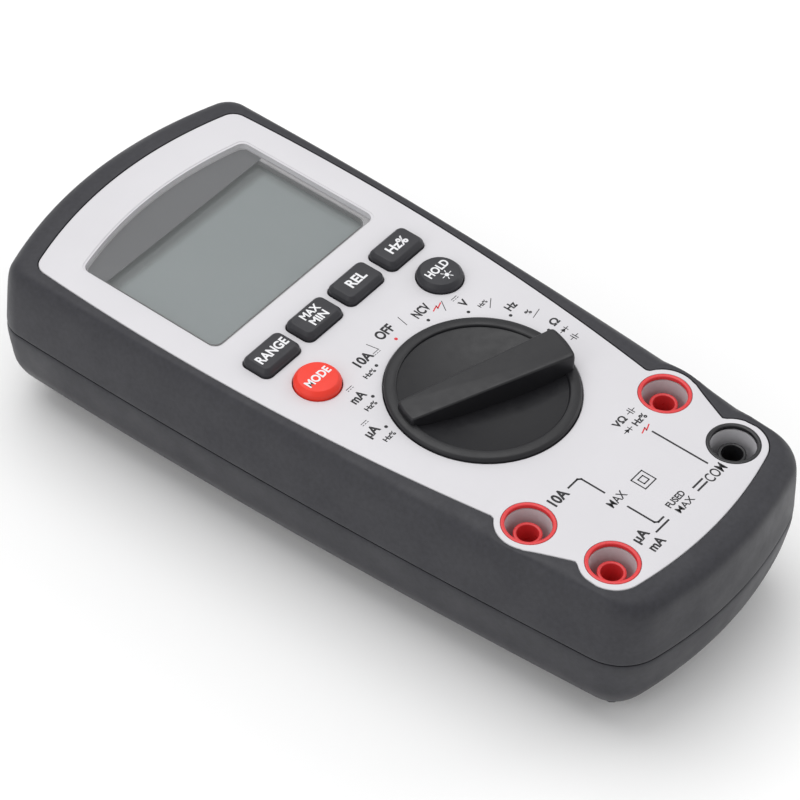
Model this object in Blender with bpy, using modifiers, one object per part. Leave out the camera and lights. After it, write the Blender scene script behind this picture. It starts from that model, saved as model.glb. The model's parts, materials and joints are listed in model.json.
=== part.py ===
"""Handheld digital multimeter: a sealed two-part case with rubber bumpers, display, keys, rotary switch,
test-lead sockets, fuses, battery and tilt stand.

Lengths below are in millimetres and are turned into metres when a mesh is made. +X is the meter's right,
+Y its display end and +Z out of the front panel. The origin is on the resting plane, under the middle.
"""

import math

import bmesh
import bpy
import numpy as np
from mathutils import Matrix, Vector

MM = 0.001

# Case: overall length and the three heights that everything else hangs from
LENGTH = 182.0
PANEL_Z = 40.0
PARTING_Z = 23.2
TURN_UNDER_Z = 10.5
HALF_LENGTH = LENGTH / 2
SIDE_WIDEST = 41.2
SIDE_WIDEST_Y = 76.0
SIDE_TAPER = 0.0003
END_BOW = 0.005
CASE_CORNER_BOTTOM = 12.0
CASE_CORNER_TOP = 11.0
BUMPER_TOP_INSET = 3.2
BUMPER_END_INSET = 1.4
WALL_OUTER_INSET = 5.2
WALL_INNER_INSET = 8.0
REAR_SKIN = 2.5
BACK_INSET = 9.5
GAP = 0.3
BUMPER_FIT = 0.35

# Front panel
PANEL_THICK = 2.5
PANEL_TOP = 83.2
PANEL_BOTTOM = -83.2
PANEL_WIDEST = 35.3
PANEL_WIDEST_Y = 45.0
PANEL_TAPER = 0.0009
PANEL_CORNER_TOP = 4.0
PANEL_JACK_MARGIN = 7.4
PANEL_LOBE_TAPER = 0.44

# Rotary switch
KNOB_Y = -22.1
KNOB_RADIUS = 21.9
KNOB_POSITIONS = 8
KNOB_STEP = 22.5
KNOB_POINTS_TO = 157.5
RIM_TOP = 1.35
GRIP_TOP = 4.25
GRIP_SLOPE = 0.072
GRIP_HALF = 4.1
GRIP_TAPER = 0.04
GRIP_NOSE = 19.6
GRIP_TAIL = 20.8
GRIP_FOOT = -1.8
SHAFT_RADIUS = 5.0
ROTOR_RADIUS = 17.0

# Keys: four oblong ones in a row and a round one at each side below them
KEY_ROW_Y = 19.1
KEY_PITCH = 14.6
KEY_SIZE = (12.2, 7.6)
ROUND_KEY_X = 21.6
ROUND_KEY_Y = 6.5
ROUND_KEY_RADIUS = 5.3
KEY_PROUD = 2.0
KEY_FLANGE = 0.8

# Test-lead sockets
JACKS = {
    "10a": (-24.7, -53.0, "red"),
    "ma": (-22.1, -72.9, "red"),
    "volt": (24.7, -53.0, "red"),
    "com": (22.1, -72.9, "black"),
}
WELL_RADIUS = 5.05
RING_OUTER = 5.95
TUBE_OUTER = 3.15
TUBE_INNER = 2.35
TUBE_RIM = -3.0
WELL_FLOOR = -10.3
CONTACT_HOLE = 3.2

# Display window
WINDOW_HALF = 28.1
WINDOW_BOTTOM = 29.6
WINDOW_TOP = 69.9
WINDOW_ARCH = 4.0
WINDOW_BEVEL = 1.2
LENS_TOP = 39.4
LENS_THICK = 1.0
LENS_LEDGE = 1.4
MASK_LOW = 61.0
LCD_TOP = 33.8

# Inside
BOARD_BOTTOM = 25.0
BOARD_TOP = 26.6
FLOOR_TOP = 2.6
STAND_FLOOR = 6.2

# Back
STAND_Y = -6.0
STAND_Z = 2.2
STAND_LENGTH = 65.0
STAND_WIDTH = 42.0
DOOR_Y = 36.0
DOOR_HALF = (19.0, 33.7)
BAY_HALF = (14.9, 26.5)
CASE_SCREWS = ((-25.5, 74.5), (25.5, 74.5), (-11.0, -76.5), (11.0, -76.5))

PLASTIC_LIGHT = ("light_grey_plastic", (0.76, 0.75, 0.77), 0.5, 0.0)
RUBBER_DARK = ("dark_grey_rubber", (0.065, 0.065, 0.075), 0.75, 0.0)
PLASTIC_DARK = ("dark_plastic", (0.045, 0.045, 0.05), 0.5, 0.0)
PLASTIC_RED = ("red_plastic", (0.75, 0.05, 0.05), 0.4, 0.0)
PLASTIC_BLACK = ("black_plastic", (0.02, 0.02, 0.02), 0.4, 0.0)
RUBBER_BLACK = ("black_rubber", (0.02, 0.02, 0.02), 0.8, 0.0)
CLEAR = ("clear_plastic", (0.85, 0.88, 0.88), 0.08, 0.0)
MASK_GREY = ("mask_grey", (0.22, 0.21, 0.215), 0.5, 0.0)
LCD_GREY = ("lcd_grey", (0.28, 0.32, 0.32), 0.2, 0.0)
WHITE = ("white_plastic", (0.8, 0.8, 0.78), 0.5, 0.0)
BOARD_GREEN = ("board_green", (0.03, 0.2, 0.07), 0.45, 0.0)
BRASS = ("brass", (0.72, 0.52, 0.22), 0.3, 1.0)
STEEL = ("steel", (0.6, 0.6, 0.62), 0.3, 1.0)
COPPER = ("copper_alloy", (0.66, 0.4, 0.25), 0.35, 1.0)
CERAMIC = ("fuse_body", (0.8, 0.77, 0.7), 0.35, 0.0)
BLUE = ("blue_coating", (0.05, 0.15, 0.45), 0.4, 0.0)


# ---- Scene -------------------------------------------------------------------------------------------

for old in list(bpy.data.objects):
    bpy.data.objects.remove(old, do_unlink=True)

PARTS = bpy.data.collections.new("handheld_multimeter")
CUTTERS = bpy.data.collections.new("cutters")
bpy.context.scene.collection.children.link(PARTS)
bpy.context.scene.collection.children.link(CUTTERS)


def material(finish):
    """The Principled material of a finish, made once."""
    name, colour, roughness, metallic = finish
    found = bpy.data.materials.get(name)
    if found:
        return found
    made = bpy.data.materials.new(name)
    made.use_nodes = True
    shader = made.node_tree.nodes["Principled BSDF"]
    shader.inputs["Base Color"].default_value = (*colour, 1.0)
    shader.inputs["Roughness"].default_value = roughness
    shader.inputs["Metallic"].default_value = metallic
    return made


def place(name, mesh, finish, at=(0, 0, 0), turn=(0, 0, 0), parent=None):
    """A part when it has a finish, a hidden cutter when it has none, at a place in millimetres."""
    obj = bpy.data.objects.new(name, mesh)
    obj.location = Vector(at) * MM
    obj.rotation_euler = turn
    obj.parent = parent
    if finish:
        mesh.materials.append(material(finish))
        PARTS.objects.link(obj)
    else:
        CUTTERS.objects.link(obj)
        obj.hide_render = True
        obj.display_type = "WIRE"
    return obj


def pivot(name, at):
    """An empty on a joint's axis."""
    empty = bpy.data.objects.new(name, None)
    empty.location = Vector(at) * MM
    PARTS.objects.link(empty)
    return empty


def mesh_from(bm, name):
    """The mesh of a closed bmesh, with its faces turned outwards."""
    bmesh.ops.recalc_face_normals(bm, faces=bm.faces)
    mesh = bpy.data.meshes.new(name)
    bm.to_mesh(mesh)
    bm.free()
    return mesh


# ---- Shapes ------------------------------------------------------------------------------------------


def loft(name, rings, finish, closed=False, **where):
    """A skin through matching rings: capped at both ends, or closed round into a frame."""
    bm = bmesh.new()
    rows = [[bm.verts.new(Vector(point) * MM) for point in ring] for ring in rings]
    pairs = list(zip(rows, rows[1:]))
    if closed:
        pairs.append((rows[-1], rows[0]))
    else:
        bm.faces.new(rows[0])
        bm.faces.new(rows[-1])
    for low, high in pairs:
        for i in range(len(low)):
            j = (i + 1) % len(low)
            bm.faces.new((low[i], low[j], high[j], high[i]))
    obj = place(name, mesh_from(bm, name), finish, **where)
    return obj


def box(name, low, high, finish, **where):
    """A plain block between two corners."""
    bm = bmesh.new()
    bmesh.ops.create_cube(bm, size=1.0)
    size = Vector(high) - Vector(low)
    middle = (Vector(high) + Vector(low)) / 2
    bmesh.ops.scale(bm, vec=size * MM, verts=bm.verts)
    bmesh.ops.translate(bm, vec=middle * MM, verts=bm.verts)
    return place(name, mesh_from(bm, name), finish, **where)


def rod(name, radius, low, high, finish, axis="Z", sides=16, **where):
    """A cylinder from low to high along an axis through its own origin."""
    bm = bmesh.new()
    bmesh.ops.create_cone(
        bm, cap_ends=True, segments=sides, radius1=radius * MM, radius2=radius * MM, depth=(high - low) * MM
    )
    bmesh.ops.translate(bm, vec=Vector((0, 0, (high + low) / 2)) * MM, verts=bm.verts)
    if axis == "X":
        bmesh.ops.rotate(bm, matrix=Matrix.Rotation(math.pi / 2, 3, "Y"), verts=bm.verts)
    obj = place(name, mesh_from(bm, name), finish, **where)
    if finish:
        obj.data.shade_smooth()
        obj.data.set_sharp_from_angle(angle=math.radians(35))
    return obj


def turned(name, profile, finish, steps=20, ring=False, **where):
    """A turned piece: (radius, height) pairs down its outer side, or round a ring's section."""
    bm = bmesh.new()
    points = [bm.verts.new(Vector((radius, 0, height)) * MM) for radius, height in profile]
    for first, second in zip(points, points[1:]):
        bm.edges.new((first, second))
    if ring:
        bm.edges.new((points[-1], points[0]))
    mesh = bpy.data.meshes.new(name)
    bm.to_mesh(mesh)
    bm.free()
    obj = place(name, mesh, finish, **where)
    screw = obj.modifiers.new("turn", "SCREW")
    screw.steps = steps
    screw.render_steps = steps
    screw.use_merge_vertices = True
    screw.merge_threshold = 0.000005
    screw.use_smooth_shade = True
    return obj


def rounded_rectangle(half_x, half_y, radius, z, centre=(0, 0), arc=3):
    """A ring with round corners, anticlockwise from above."""
    ring = []
    for corner in range(4):
        cx = (half_x - radius) * (1 if corner in (0, 3) else -1)
        cy = (half_y - radius) * (1 if corner in (0, 1) else -1)
        for step in range(arc + 1):
            angle = math.radians(90 * corner + 90 * step / arc)
            x = centre[0] + cx + radius * math.cos(angle)
            y = centre[1] + cy + radius * math.sin(angle)
            ring.append((x, y, z))
    return ring


def block(name, half, radius, low, high, finish, centre=(0, 0), **where):
    """A block with round upright edges."""
    rings = [rounded_rectangle(*half, radius, z, centre) for z in (low, high)]
    return loft(name, rings, finish, **where)


def frame(name, outer, inner, radius, low, high, finish, centre=(0, 0), **where):
    """A rectangular frame with round corners."""
    rings = [
        rounded_rectangle(*outer, radius, low, centre),
        rounded_rectangle(*outer, radius, high, centre),
        rounded_rectangle(*inner, radius * 0.6, high, centre),
        rounded_rectangle(*inner, radius * 0.6, low, centre),
    ]
    return loft(name, rings, finish, closed=True, **where)


def join(obj, tool, operation):
    """A Boolean step on an object with a cutter-collection tool."""
    step = obj.modifiers.new(f"{operation.lower()}_{tool.name}", "BOOLEAN")
    step.operation = operation
    step.object = tool


def add(obj, tool):
    join(obj, tool, "UNION")


def cut(obj, tool):
    join(obj, tool, "DIFFERENCE")


# ---- Outlines of the case and of the panel -----------------------------------------------------------

SIDE_STATIONS = (-71, -67, -63.5, -60, -56.5, -53, -49.5, -46.5, -42, -32, -15, 10, 42, 72)
CORNER_ARC = 3
END_STEPS = 2


def soft_max(a, b, blend=1.2):
    """The larger of two values, with the change-over rounded."""
    return 0.5 * (a + b + math.sqrt((a - b) ** 2 + blend**2))


def case_side(inset=0.0):
    """Half width of the case against height: widest near the display, narrower at the sockets."""
    return lambda y: SIDE_WIDEST - SIDE_TAPER * (SIDE_WIDEST_Y - y) ** 2 - inset


def case_end(sign, inset=0.0):
    """Bowed end of the case, sign +1 at the display and -1 at the sockets."""
    return lambda x: sign * (HALF_LENGTH - inset - END_BOW * x * x)


def panel_side(grow=0.0):
    """Half width of the light panel: a shallow barrel with a round lobe beside each socket.

    The upper lobe runs down to the lower one along a straight tangent.
    """
    lean = math.atan(PANEL_LOBE_TAPER)

    def half_width(y):
        width = PANEL_WIDEST - PANEL_TAPER * (PANEL_WIDEST_Y - y) ** 2
        x, centre, _ = JACKS["volt"]
        touch_x = x + PANEL_JACK_MARGIN * math.cos(lean)
        touch_y = centre - PANEL_JACK_MARGIN * math.sin(lean)
        if y < touch_y:
            width = soft_max(width, touch_x + PANEL_LOBE_TAPER * (y - touch_y), 0.4)
        for key in ("volt", "com"):
            x, centre, _ = JACKS[key]
            reach = math.sqrt(max(PANEL_JACK_MARGIN**2 - (y - centre) ** 2, 0.0))
            width = soft_max(width, x + reach, 0.4)
        return width + grow

    return half_width


def panel_end(sign, grow=0.0):
    """Bowed end of the panel."""
    edge = PANEL_TOP if sign > 0 else -PANEL_BOTTOM
    return lambda x: sign * (edge + grow - END_BOW * x * x)


def corner(side, end, radius, sign):
    """Centre of the round corner between a side and an end, and the slope of the end where it meets it."""
    cy = end(30.0)
    slope = 0.0
    for _ in range(12):
        cx = side(cy) - radius
        x_touch = cx + radius * math.sin(slope)
        slope = math.atan(2 * END_BOW * x_touch)
        cy = end(x_touch) - sign * radius * math.cos(slope)
    return cx, cy, slope


def outline(side, bottom, top, radius_bottom, radius_top, z):
    """A ring round the case, anticlockwise from the bottom middle, with the same count for every outline."""
    bx, by, b_slope = corner(side, bottom, radius_bottom, -1)
    tx, ty, t_slope = corner(side, top, radius_top, 1)
    half = []
    b_touch = bx + radius_bottom * math.sin(b_slope)
    for step in range(END_STEPS):
        x = b_touch * step / END_STEPS
        half.append((x, bottom(x)))
    for step in range(CORNER_ARC):
        angle = (b_slope - math.pi / 2) * (1 - step / CORNER_ARC)
        half.append((bx + radius_bottom * math.cos(angle), by + radius_bottom * math.sin(angle)))
    for y in SIDE_STATIONS:
        half.append((side(y), y))
    for step in range(1, CORNER_ARC + 1):
        angle = (math.pi / 2 - t_slope) * step / CORNER_ARC
        half.append((tx + radius_top * math.cos(angle), ty + radius_top * math.sin(angle)))
    t_touch = half[-1][0]
    for step in range(1, END_STEPS + 1):
        x = t_touch * (1 - step / END_STEPS)
        half.append((x, top(x)))
    right = [(x, y, z) for x, y in half]
    left = [(-x, y, z) for x, y in reversed(half[1:-1])]
    return right + left


def case_ring(z, inset, end_inset=None):
    """The case's outline pulled in by an inset."""
    ends = inset if end_inset is None else end_inset
    return outline(
        case_side(inset),
        case_end(-1, ends),
        case_end(1, ends),
        max(CASE_CORNER_BOTTOM - inset, 2.5),
        max(CASE_CORNER_TOP - inset, 2.5),
        z,
    )


def panel_ring(z, grow=0.0):
    """The panel's outline grown by a margin."""
    return outline(
        panel_side(grow),
        panel_end(-1, grow),
        panel_end(1, grow),
        PANEL_JACK_MARGIN + grow,
        PANEL_CORNER_TOP + grow,
        z,
    )


def lobed_ring(z, clearance=0.0):
    """The front wall's outer face, widened where the panel's lobes pass it, and a clearance outside that."""
    inset = WALL_OUTER_INSET - clearance
    wall = case_side(inset)
    lobes = panel_side(clearance)
    return outline(
        lambda y: max(wall(y), lobes(y)),
        case_end(-1, inset),
        case_end(1, inset),
        CASE_CORNER_BOTTOM - inset,
        CASE_CORNER_TOP - inset,
        z,
    )


def halfway(ring_a, ring_b, share, z):
    """A ring between two others, at its own height."""
    ring = []
    for a, b in zip(ring_a, ring_b):
        ring.append((a[0] + (b[0] - a[0]) * share, a[1] + (b[1] - a[1]) * share, z))
    return ring


def window_ring(inset, z):
    """The display window: straight sides, round corners and an arched upper edge."""
    half = WINDOW_HALF - inset
    low = WINDOW_BOTTOM + inset
    high = WINDOW_TOP - inset
    radius = 2.0
    ring = []
    for step in range(4):
        angle = math.radians(-90 + 30 * step)
        ring.append((half - radius + radius * math.cos(angle), low + radius + radius * math.sin(angle), z))
    for step in range(4):
        angle = math.radians(24 * step)
        ring.append((half - radius + radius * math.cos(angle), high - radius + radius * math.sin(angle), z))
    for step in range(1, 4):
        x = (half - radius) * (1 - step / 4)
        ring.append((x, high + WINDOW_ARCH * (1 - (x / half) ** 2), z))
    ring.append((0, high + WINDOW_ARCH, z))
    left = [(-x, y, z) for x, y, z in reversed(ring[:-1])]
    return ring + left


# ---- Case shells -------------------------------------------------------------------------------------


def front_bumper():
    """Rubber over the front half: flares out from the panel's edge down to the parting line."""
    shoulder = case_ring(PANEL_Z - 2.2, BUMPER_TOP_INSET, BUMPER_END_INSET)
    lip = panel_ring(PANEL_Z, BUMPER_FIT)
    rings = [
        lobed_ring(PARTING_Z + GAP / 2, BUMPER_FIT),
        case_ring(PARTING_Z + GAP / 2, 0.3),
        case_ring(PARTING_Z + 0.6, 0.0),
        case_ring(PARTING_Z + 8.0, 1.1, 0.5),
        shoulder,
        halfway(lip, shoulder, 0.6, PANEL_Z - 0.3),
        lip,
        panel_ring(PANEL_Z - 1.4, BUMPER_FIT),
        lobed_ring(PANEL_Z - 3.0, BUMPER_FIT),
    ]
    return loft("front_bumper", rings, RUBBER_DARK, closed=True)


def rear_bumper():
    """Rubber over the rear half, down to where the case turns under."""
    rings = [
        case_ring(PARTING_Z - GAP / 2, REAR_SKIN),
        case_ring(PARTING_Z - GAP / 2, 0.3),
        case_ring(PARTING_Z - 0.6, 0.0),
        case_ring(TURN_UNDER_Z, 1.8),
        case_ring(5.0, 4.4),
        case_ring(1.2, BACK_INSET - GAP),
        case_ring(3.8, BACK_INSET - GAP),
        case_ring(6.6, 6.2),
        case_ring(TURN_UNDER_Z + 0.6, 1.8 + REAR_SKIN),
    ]
    return loft("rear_bumper", rings, RUBBER_DARK, closed=True)


def front_case():
    """Light panel with the wall under it, open at the back: windows, key holes, socket wells and posts."""
    wall_foot = PARTING_Z - 3.4
    rings = [
        case_ring(PANEL_Z - PANEL_THICK, WALL_INNER_INSET),
        case_ring(wall_foot, WALL_INNER_INSET),
        case_ring(wall_foot, WALL_OUTER_INSET),
        case_ring(PARTING_Z - 2.6, WALL_OUTER_INSET),
        case_ring(PARTING_Z - 2.6, WALL_OUTER_INSET + 1.5),
        case_ring(PARTING_Z - 0.8, WALL_OUTER_INSET + 1.5),
        case_ring(PARTING_Z - 0.8, WALL_OUTER_INSET),
        case_ring(PANEL_Z - 10.0, WALL_OUTER_INSET),
        lobed_ring(PANEL_Z - 6.5),
        panel_ring(PANEL_Z - PANEL_THICK),
        panel_ring(PANEL_Z),
    ]
    shell = loft("front_case", rings, PLASTIC_LIGHT)
    under = PANEL_Z - PANEL_THICK + 0.5
    add(shell, rod("switch_boss", 24.0, PANEL_Z - 4.8, under, None, sides=32, at=(0, KNOB_Y, 0)))
    add(shell, rod("seal_collar", 9.0, PANEL_Z - 7.5, PANEL_Z - 4.0, None, at=(0, KNOB_Y, 0)))
    for name, (x, y, _) in JACKS.items():
        add(shell, rod(f"well_wall_{name}", 6.5, BOARD_TOP + 0.5, under, None, at=(x, y, 0)))
    for index, (x, y) in enumerate(CASE_SCREWS):
        add(shell, rod(f"post_{index}", 3.2, 20.5, under, None, sides=16, at=(x, y, 0)))
    above = PANEL_Z + 5
    window = [
        window_ring(-WINDOW_BEVEL, PANEL_Z + WINDOW_BEVEL / 2),
        window_ring(WINDOW_BEVEL, PANEL_Z - WINDOW_BEVEL / 2),
        window_ring(WINDOW_BEVEL, LENS_TOP - LENS_THICK - GAP),
    ]
    cut(shell, loft("window_hole", window, None))
    opening = [window_ring(WINDOW_BEVEL + LENS_LEDGE, z) for z in (PANEL_Z - 5, PANEL_Z - 1)]
    cut(shell, loft("ledge_opening", opening, None))
    cut(shell, rod("knob_recess", KNOB_RADIUS + 0.4, PANEL_Z - 2.6, above, None, sides=40, at=(0, KNOB_Y, 0)))
    cut(shell, rod("shaft_hole", SHAFT_RADIUS + 0.4, 20, above, None, at=(0, KNOB_Y, 0)))
    cut(shell, rod("seal_pocket", 7.3, 20, PANEL_Z - 4.2, None, at=(0, KNOB_Y, 0)))
    for index, x in enumerate(key_places()):
        half = (KEY_SIZE[0] / 2 + GAP, KEY_SIZE[1] / 2 + GAP)
        cut(shell, block(f"key_hole_{index}", half, 1.8, PANEL_Z - 5, above, None, centre=(x, KEY_ROW_Y)))
    for side in (-1, 1):
        at = (side * ROUND_KEY_X, ROUND_KEY_Y, 0)
        cut(shell, rod(f"round_hole_{side}", ROUND_KEY_RADIUS + GAP, PANEL_Z - 5, above, None, at=at))
    for name, (x, y, _) in JACKS.items():
        cut(shell, rod(f"well_{name}", WELL_RADIUS, PANEL_Z + WELL_FLOOR, above, None, at=(x, y, 0)))
        cut(shell, rod(f"floor_hole_{name}", CONTACT_HOLE, 20, above, None, at=(x, y, 0)))
        cut(shell, rod(f"ring_seat_{name}", RING_OUTER + GAP, PANEL_Z - 1.1, above, None, at=(x, y, 0)))
    for index, (x, y) in enumerate(CASE_SCREWS):
        cut(shell, rod(f"pilot_{index}", 1.75, 10, PANEL_Z - 8, None, sides=12, at=(x, y, 0)))
    return shell


def rear_case():
    """Rear shell: flat back, battery bay with its lid rebate, tilt-stand recess and screw bosses."""
    rings = [
        case_ring(FLOOR_TOP, BACK_INSET + 4.0),
        case_ring(5.6, BACK_INSET + 2.0),
        case_ring(TURN_UNDER_Z + 1.0, 7.0),
        case_ring(PARTING_Z - 4.2, WALL_OUTER_INSET - 0.4),
        case_ring(PARTING_Z - GAP / 2, WALL_OUTER_INSET - 0.4),
        case_ring(PARTING_Z - GAP / 2, REAR_SKIN + GAP),
        case_ring(TURN_UNDER_Z + 0.8, 1.8 + REAR_SKIN + GAP),
        case_ring(6.9, 6.2 + GAP + 0.2),
        case_ring(4.0, BACK_INSET),
        case_ring(0, BACK_INSET),
    ]
    shell = loft("rear_case", rings, PLASTIC_DARK)
    stand_middle = STAND_Y - STAND_LENGTH / 2
    add(
        shell,
        box(
            "stand_pan",
            (-STAND_WIDTH / 2 - 3.4, stand_middle - STAND_LENGTH / 2 - 3.6, 1),
            (STAND_WIDTH / 2 + 3.4, STAND_Y + 4.6, STAND_FLOOR),
            None,
        ),
    )
    add(shell, block("door_land", (DOOR_HALF[0] + 2.2, DOOR_HALF[1] + 1.0), 3, 1, 5.8, None, centre=(0, DOOR_Y)))
    add(shell, block("bay_wall", (BAY_HALF[0] + 1.6, BAY_HALF[1] + 1.6), 2, 1, 17, None, centre=(0, DOOR_Y)))
    for sign in (-1, 1):
        add(shell, rod(f"door_boss_{sign}", 2.6, 3, 13, None, sides=16, at=(0, DOOR_Y + sign * 31.0, 0)))
    for index, (x, y) in enumerate(CASE_SCREWS):
        add(shell, rod(f"boss_{index}", 4.4, 4.8, 19.8, None, sides=16, at=(x, y, 0)))
    recess_half = (STAND_WIDTH / 2 + 0.5, STAND_LENGTH / 2 + 2.1)
    recess_y = stand_middle
    cut(shell, block("stand_recess", recess_half, 1.5, -5, 3.6, None, centre=(0, recess_y)))
    cut(
        shell,
        box(
            "barrel_recess",
            (-STAND_WIDTH / 2 - 0.4, STAND_Y - 5, -5),
            (STAND_WIDTH / 2 + 0.4, STAND_Y + 2.0, 4.6),
            None,
        ),
    )
    pin_reach = STAND_WIDTH / 2 + 2.6
    cut(shell, rod("pin_hole", 1.3, -pin_reach, pin_reach, None, "X", 12, at=(0, STAND_Y, STAND_Z)))
    rebate_half = (DOOR_HALF[0] + GAP, DOOR_HALF[1] + GAP)
    cut(shell, block("door_rebate", rebate_half, 2.3, -5, 3.9, None, centre=(0, DOOR_Y)))
    cut(shell, block("bay", BAY_HALF, 1.5, -5, 30, None, centre=(0, DOOR_Y)))
    for sign in (-1, 1):
        cut(shell, rod(f"door_pilot_{sign}", 1.5, 2, 12, None, sides=12, at=(0, DOOR_Y + sign * 31.0, 0)))
    for index, (x, y) in enumerate(CASE_SCREWS):
        cut(shell, rod(f"screw_hole_{index}", 1.75, -5, 30, None, sides=12, at=(x, y, 0)))
        cut(shell, rod(f"counterbore_{index}", 3.1, -5, 6.0, None, sides=20, at=(x, y, 0)))
    return shell


def case_gasket():
    """Square-section cord in the groove of the front wall."""
    inset = WALL_OUTER_INSET + 0.1
    rings = [
        case_ring(PARTING_Z - 2.3, inset),
        case_ring(PARTING_Z - 1.1, inset),
        case_ring(PARTING_Z - 1.1, inset + 1.1),
        case_ring(PARTING_Z - 2.3, inset + 1.1),
    ]
    return loft("case_gasket", rings, RUBBER_BLACK, closed=True)


def case_screw(name, at):
    """Pan-head screw from the back into a front post."""
    profile = [(0, 17.5), (1.4, 17.5), (1.4, 5.6), (2.8, 5.6), (2.8, 4.2), (2.3, 3.6), (0, 3.6)]
    return turned(name, profile, STEEL, steps=12, at=at)


# ---- Display -----------------------------------------------------------------------------------------


def display():
    """Lens, printed mask, liquid-crystal cell, holder, light guide and contact strip, from the top down."""
    lens = [window_ring(WINDOW_BEVEL + GAP, z) for z in (LENS_TOP - LENS_THICK, LENS_TOP)]
    loft("display_window", lens, CLEAR)
    mask_top = LENS_TOP - LENS_THICK - GAP
    mask = [window_ring(WINDOW_BEVEL + LENS_LEDGE + GAP, z) for z in (mask_top - 0.4, mask_top)]
    sheet = loft("display_mask", mask, MASK_GREY)
    cut(sheet, box("mask_opening", (-40, 20, 30), (40, MASK_LOW, 45), None))
    block("lcd_glass", (28.0, 18.6), 0.6, LCD_TOP - 2.2, LCD_TOP, LCD_GREY, centre=(0, 47.2))
    holder_top = PANEL_Z - PANEL_THICK - GAP
    frame("lcd_holder", (30.8, 21.2), (28.4, 19.0), 1.5, BOARD_TOP + GAP, holder_top, WHITE, centre=(0, 47.2))
    under = LCD_TOP - 2.2 - GAP
    block("backlight_panel", (26.5, 15.5), 0.8, under - 2.2, under, WHITE, centre=(0, 48.9))
    block("contact_strip", (25.0, 1.2), 0.4, BOARD_TOP + GAP, under, RUBBER_BLACK, centre=(0, 30.6))


# ---- Keys --------------------------------------------------------------------------------------------


def key_places():
    """Middles of the four oblong keys."""
    return [KEY_PITCH * (index - 1.5) for index in range(4)]


def oblong_key(name, x):
    """Oblong key with a sloping shoulder and a flange under the panel; it travels along Z."""
    half_x = KEY_SIZE[0] / 2
    half_y = KEY_SIZE[1] / 2
    flange = -PANEL_THICK - 0.4
    levels = (
        (KEY_FLANGE, flange - 1.0),
        (KEY_FLANGE, flange),
        (0.0, flange),
        (0.0, 0.9),
        (-0.9, KEY_PROUD),
    )
    rings = [rounded_rectangle(half_x + grow, half_y + grow, 1.8 + grow * 0.8, z) for grow, z in levels]
    return loft(name, rings, PLASTIC_DARK, at=(x, KEY_ROW_Y, PANEL_Z))


def round_key(name, side, finish):
    """Round key with a domed top and a flange under the panel."""
    radius = ROUND_KEY_RADIUS
    flange = -PANEL_THICK - 0.4
    profile = [
        (0, KEY_PROUD),
        (radius - 1.8, KEY_PROUD - 0.1),
        (radius - 0.5, KEY_PROUD - 0.5),
        (radius, 0.8),
        (radius, flange),
        (radius + KEY_FLANGE, flange),
        (radius + KEY_FLANGE, flange - 1.0),
        (0, flange - 1.0),
    ]
    return turned(name, profile, finish, steps=20, at=(side * ROUND_KEY_X, ROUND_KEY_Y, PANEL_Z))


def keypad_mat():
    """Rubber sheet on the board with a post under every key."""
    mat = block("keypad_mat", (29.5, 11.0), 2, BOARD_TOP + GAP, BOARD_TOP + 1.4, RUBBER_BLACK, centre=(0, 13.5))
    places = [(x, KEY_ROW_Y) for x in key_places()]
    places += [(-ROUND_KEY_X, ROUND_KEY_Y), (ROUND_KEY_X, ROUND_KEY_Y)]
    for index, (x, y) in enumerate(places):
        add(mat, rod(f"key_post_{index}", 2.4, BOARD_TOP + 1, PANEL_Z - 5.0, None, sides=12, at=(x, y, 0)))
    return mat


# ---- Rotary switch -----------------------------------------------------------------------------------


def grip_ring(shrink, drop):
    """The bar grip's outline pulled in by an amount: narrower towards its nose, with a round tail.

    It lies a drop below the bar's top, which rises towards the tail.
    """
    nose = GRIP_NOSE - shrink
    tail = GRIP_TAIL - shrink

    def half(x):
        return GRIP_HALF - GRIP_TAPER * x - shrink

    spread = math.asin(half(-tail) / tail)
    outline_points = [(nose, -half(nose)), (nose, half(nose))]
    for share in (1, 0.5, 0, -0.5, -1):
        angle = share * spread
        outline_points.append((-tail * math.cos(angle), tail * math.sin(angle)))
    return [(x, y, GRIP_TOP - GRIP_SLOPE * x - drop) for x, y in outline_points]


def selector_knob(axis):
    """Dished knob with a bar grip across it and a shaft down to the rotor."""
    radius = KNOB_RADIUS
    shaft_end = BOARD_TOP + 0.7 - PANEL_Z
    profile = [
        (0, -1.0),
        (radius * 0.45, -0.9),
        (radius * 0.7, -0.3),
        (radius * 0.84, 0.8),
        (radius * 0.87, RIM_TOP),
        (radius - 0.5, RIM_TOP),
        (radius, RIM_TOP - 0.5),
        (radius, -2.3),
        (SHAFT_RADIUS, -2.3),
        (SHAFT_RADIUS, shaft_end),
        (0, shaft_end),
    ]
    knob = turned("selector_knob", profile, PLASTIC_DARK, steps=36, parent=axis)
    foot = [(x, y, GRIP_FOOT) for x, y, _ in grip_ring(0.0, 0.0)]
    rings = [foot, grip_ring(0.0, 0.6), grip_ring(0.6, 0.0)]
    grip = loft("grip", rings, None, parent=axis, turn=(0, 0, math.radians(KNOB_POINTS_TO)))
    add(knob, grip)
    return knob


def switch_rotor(axis):
    """Contact carrier on the shaft, with two pockets for the click balls."""
    low = BOARD_TOP + 1.0 - PANEL_Z
    profile = [
        (ROTOR_RADIUS, low + 2.4),
        (ROTOR_RADIUS, low),
        (SHAFT_RADIUS + GAP, low),
        (SHAFT_RADIUS + GAP, low + 2.4),
    ]
    rotor = turned("switch_rotor", profile, WHITE, steps=28, ring=True, parent=axis)
    for sign in (-1, 1):
        place = (sign * 12.5, 0, 0)
        cut(rotor, rod(f"ball_pocket_{sign}", 1.9, low + 1.2, 0, None, sides=16, at=place, parent=axis))
    return rotor


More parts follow.
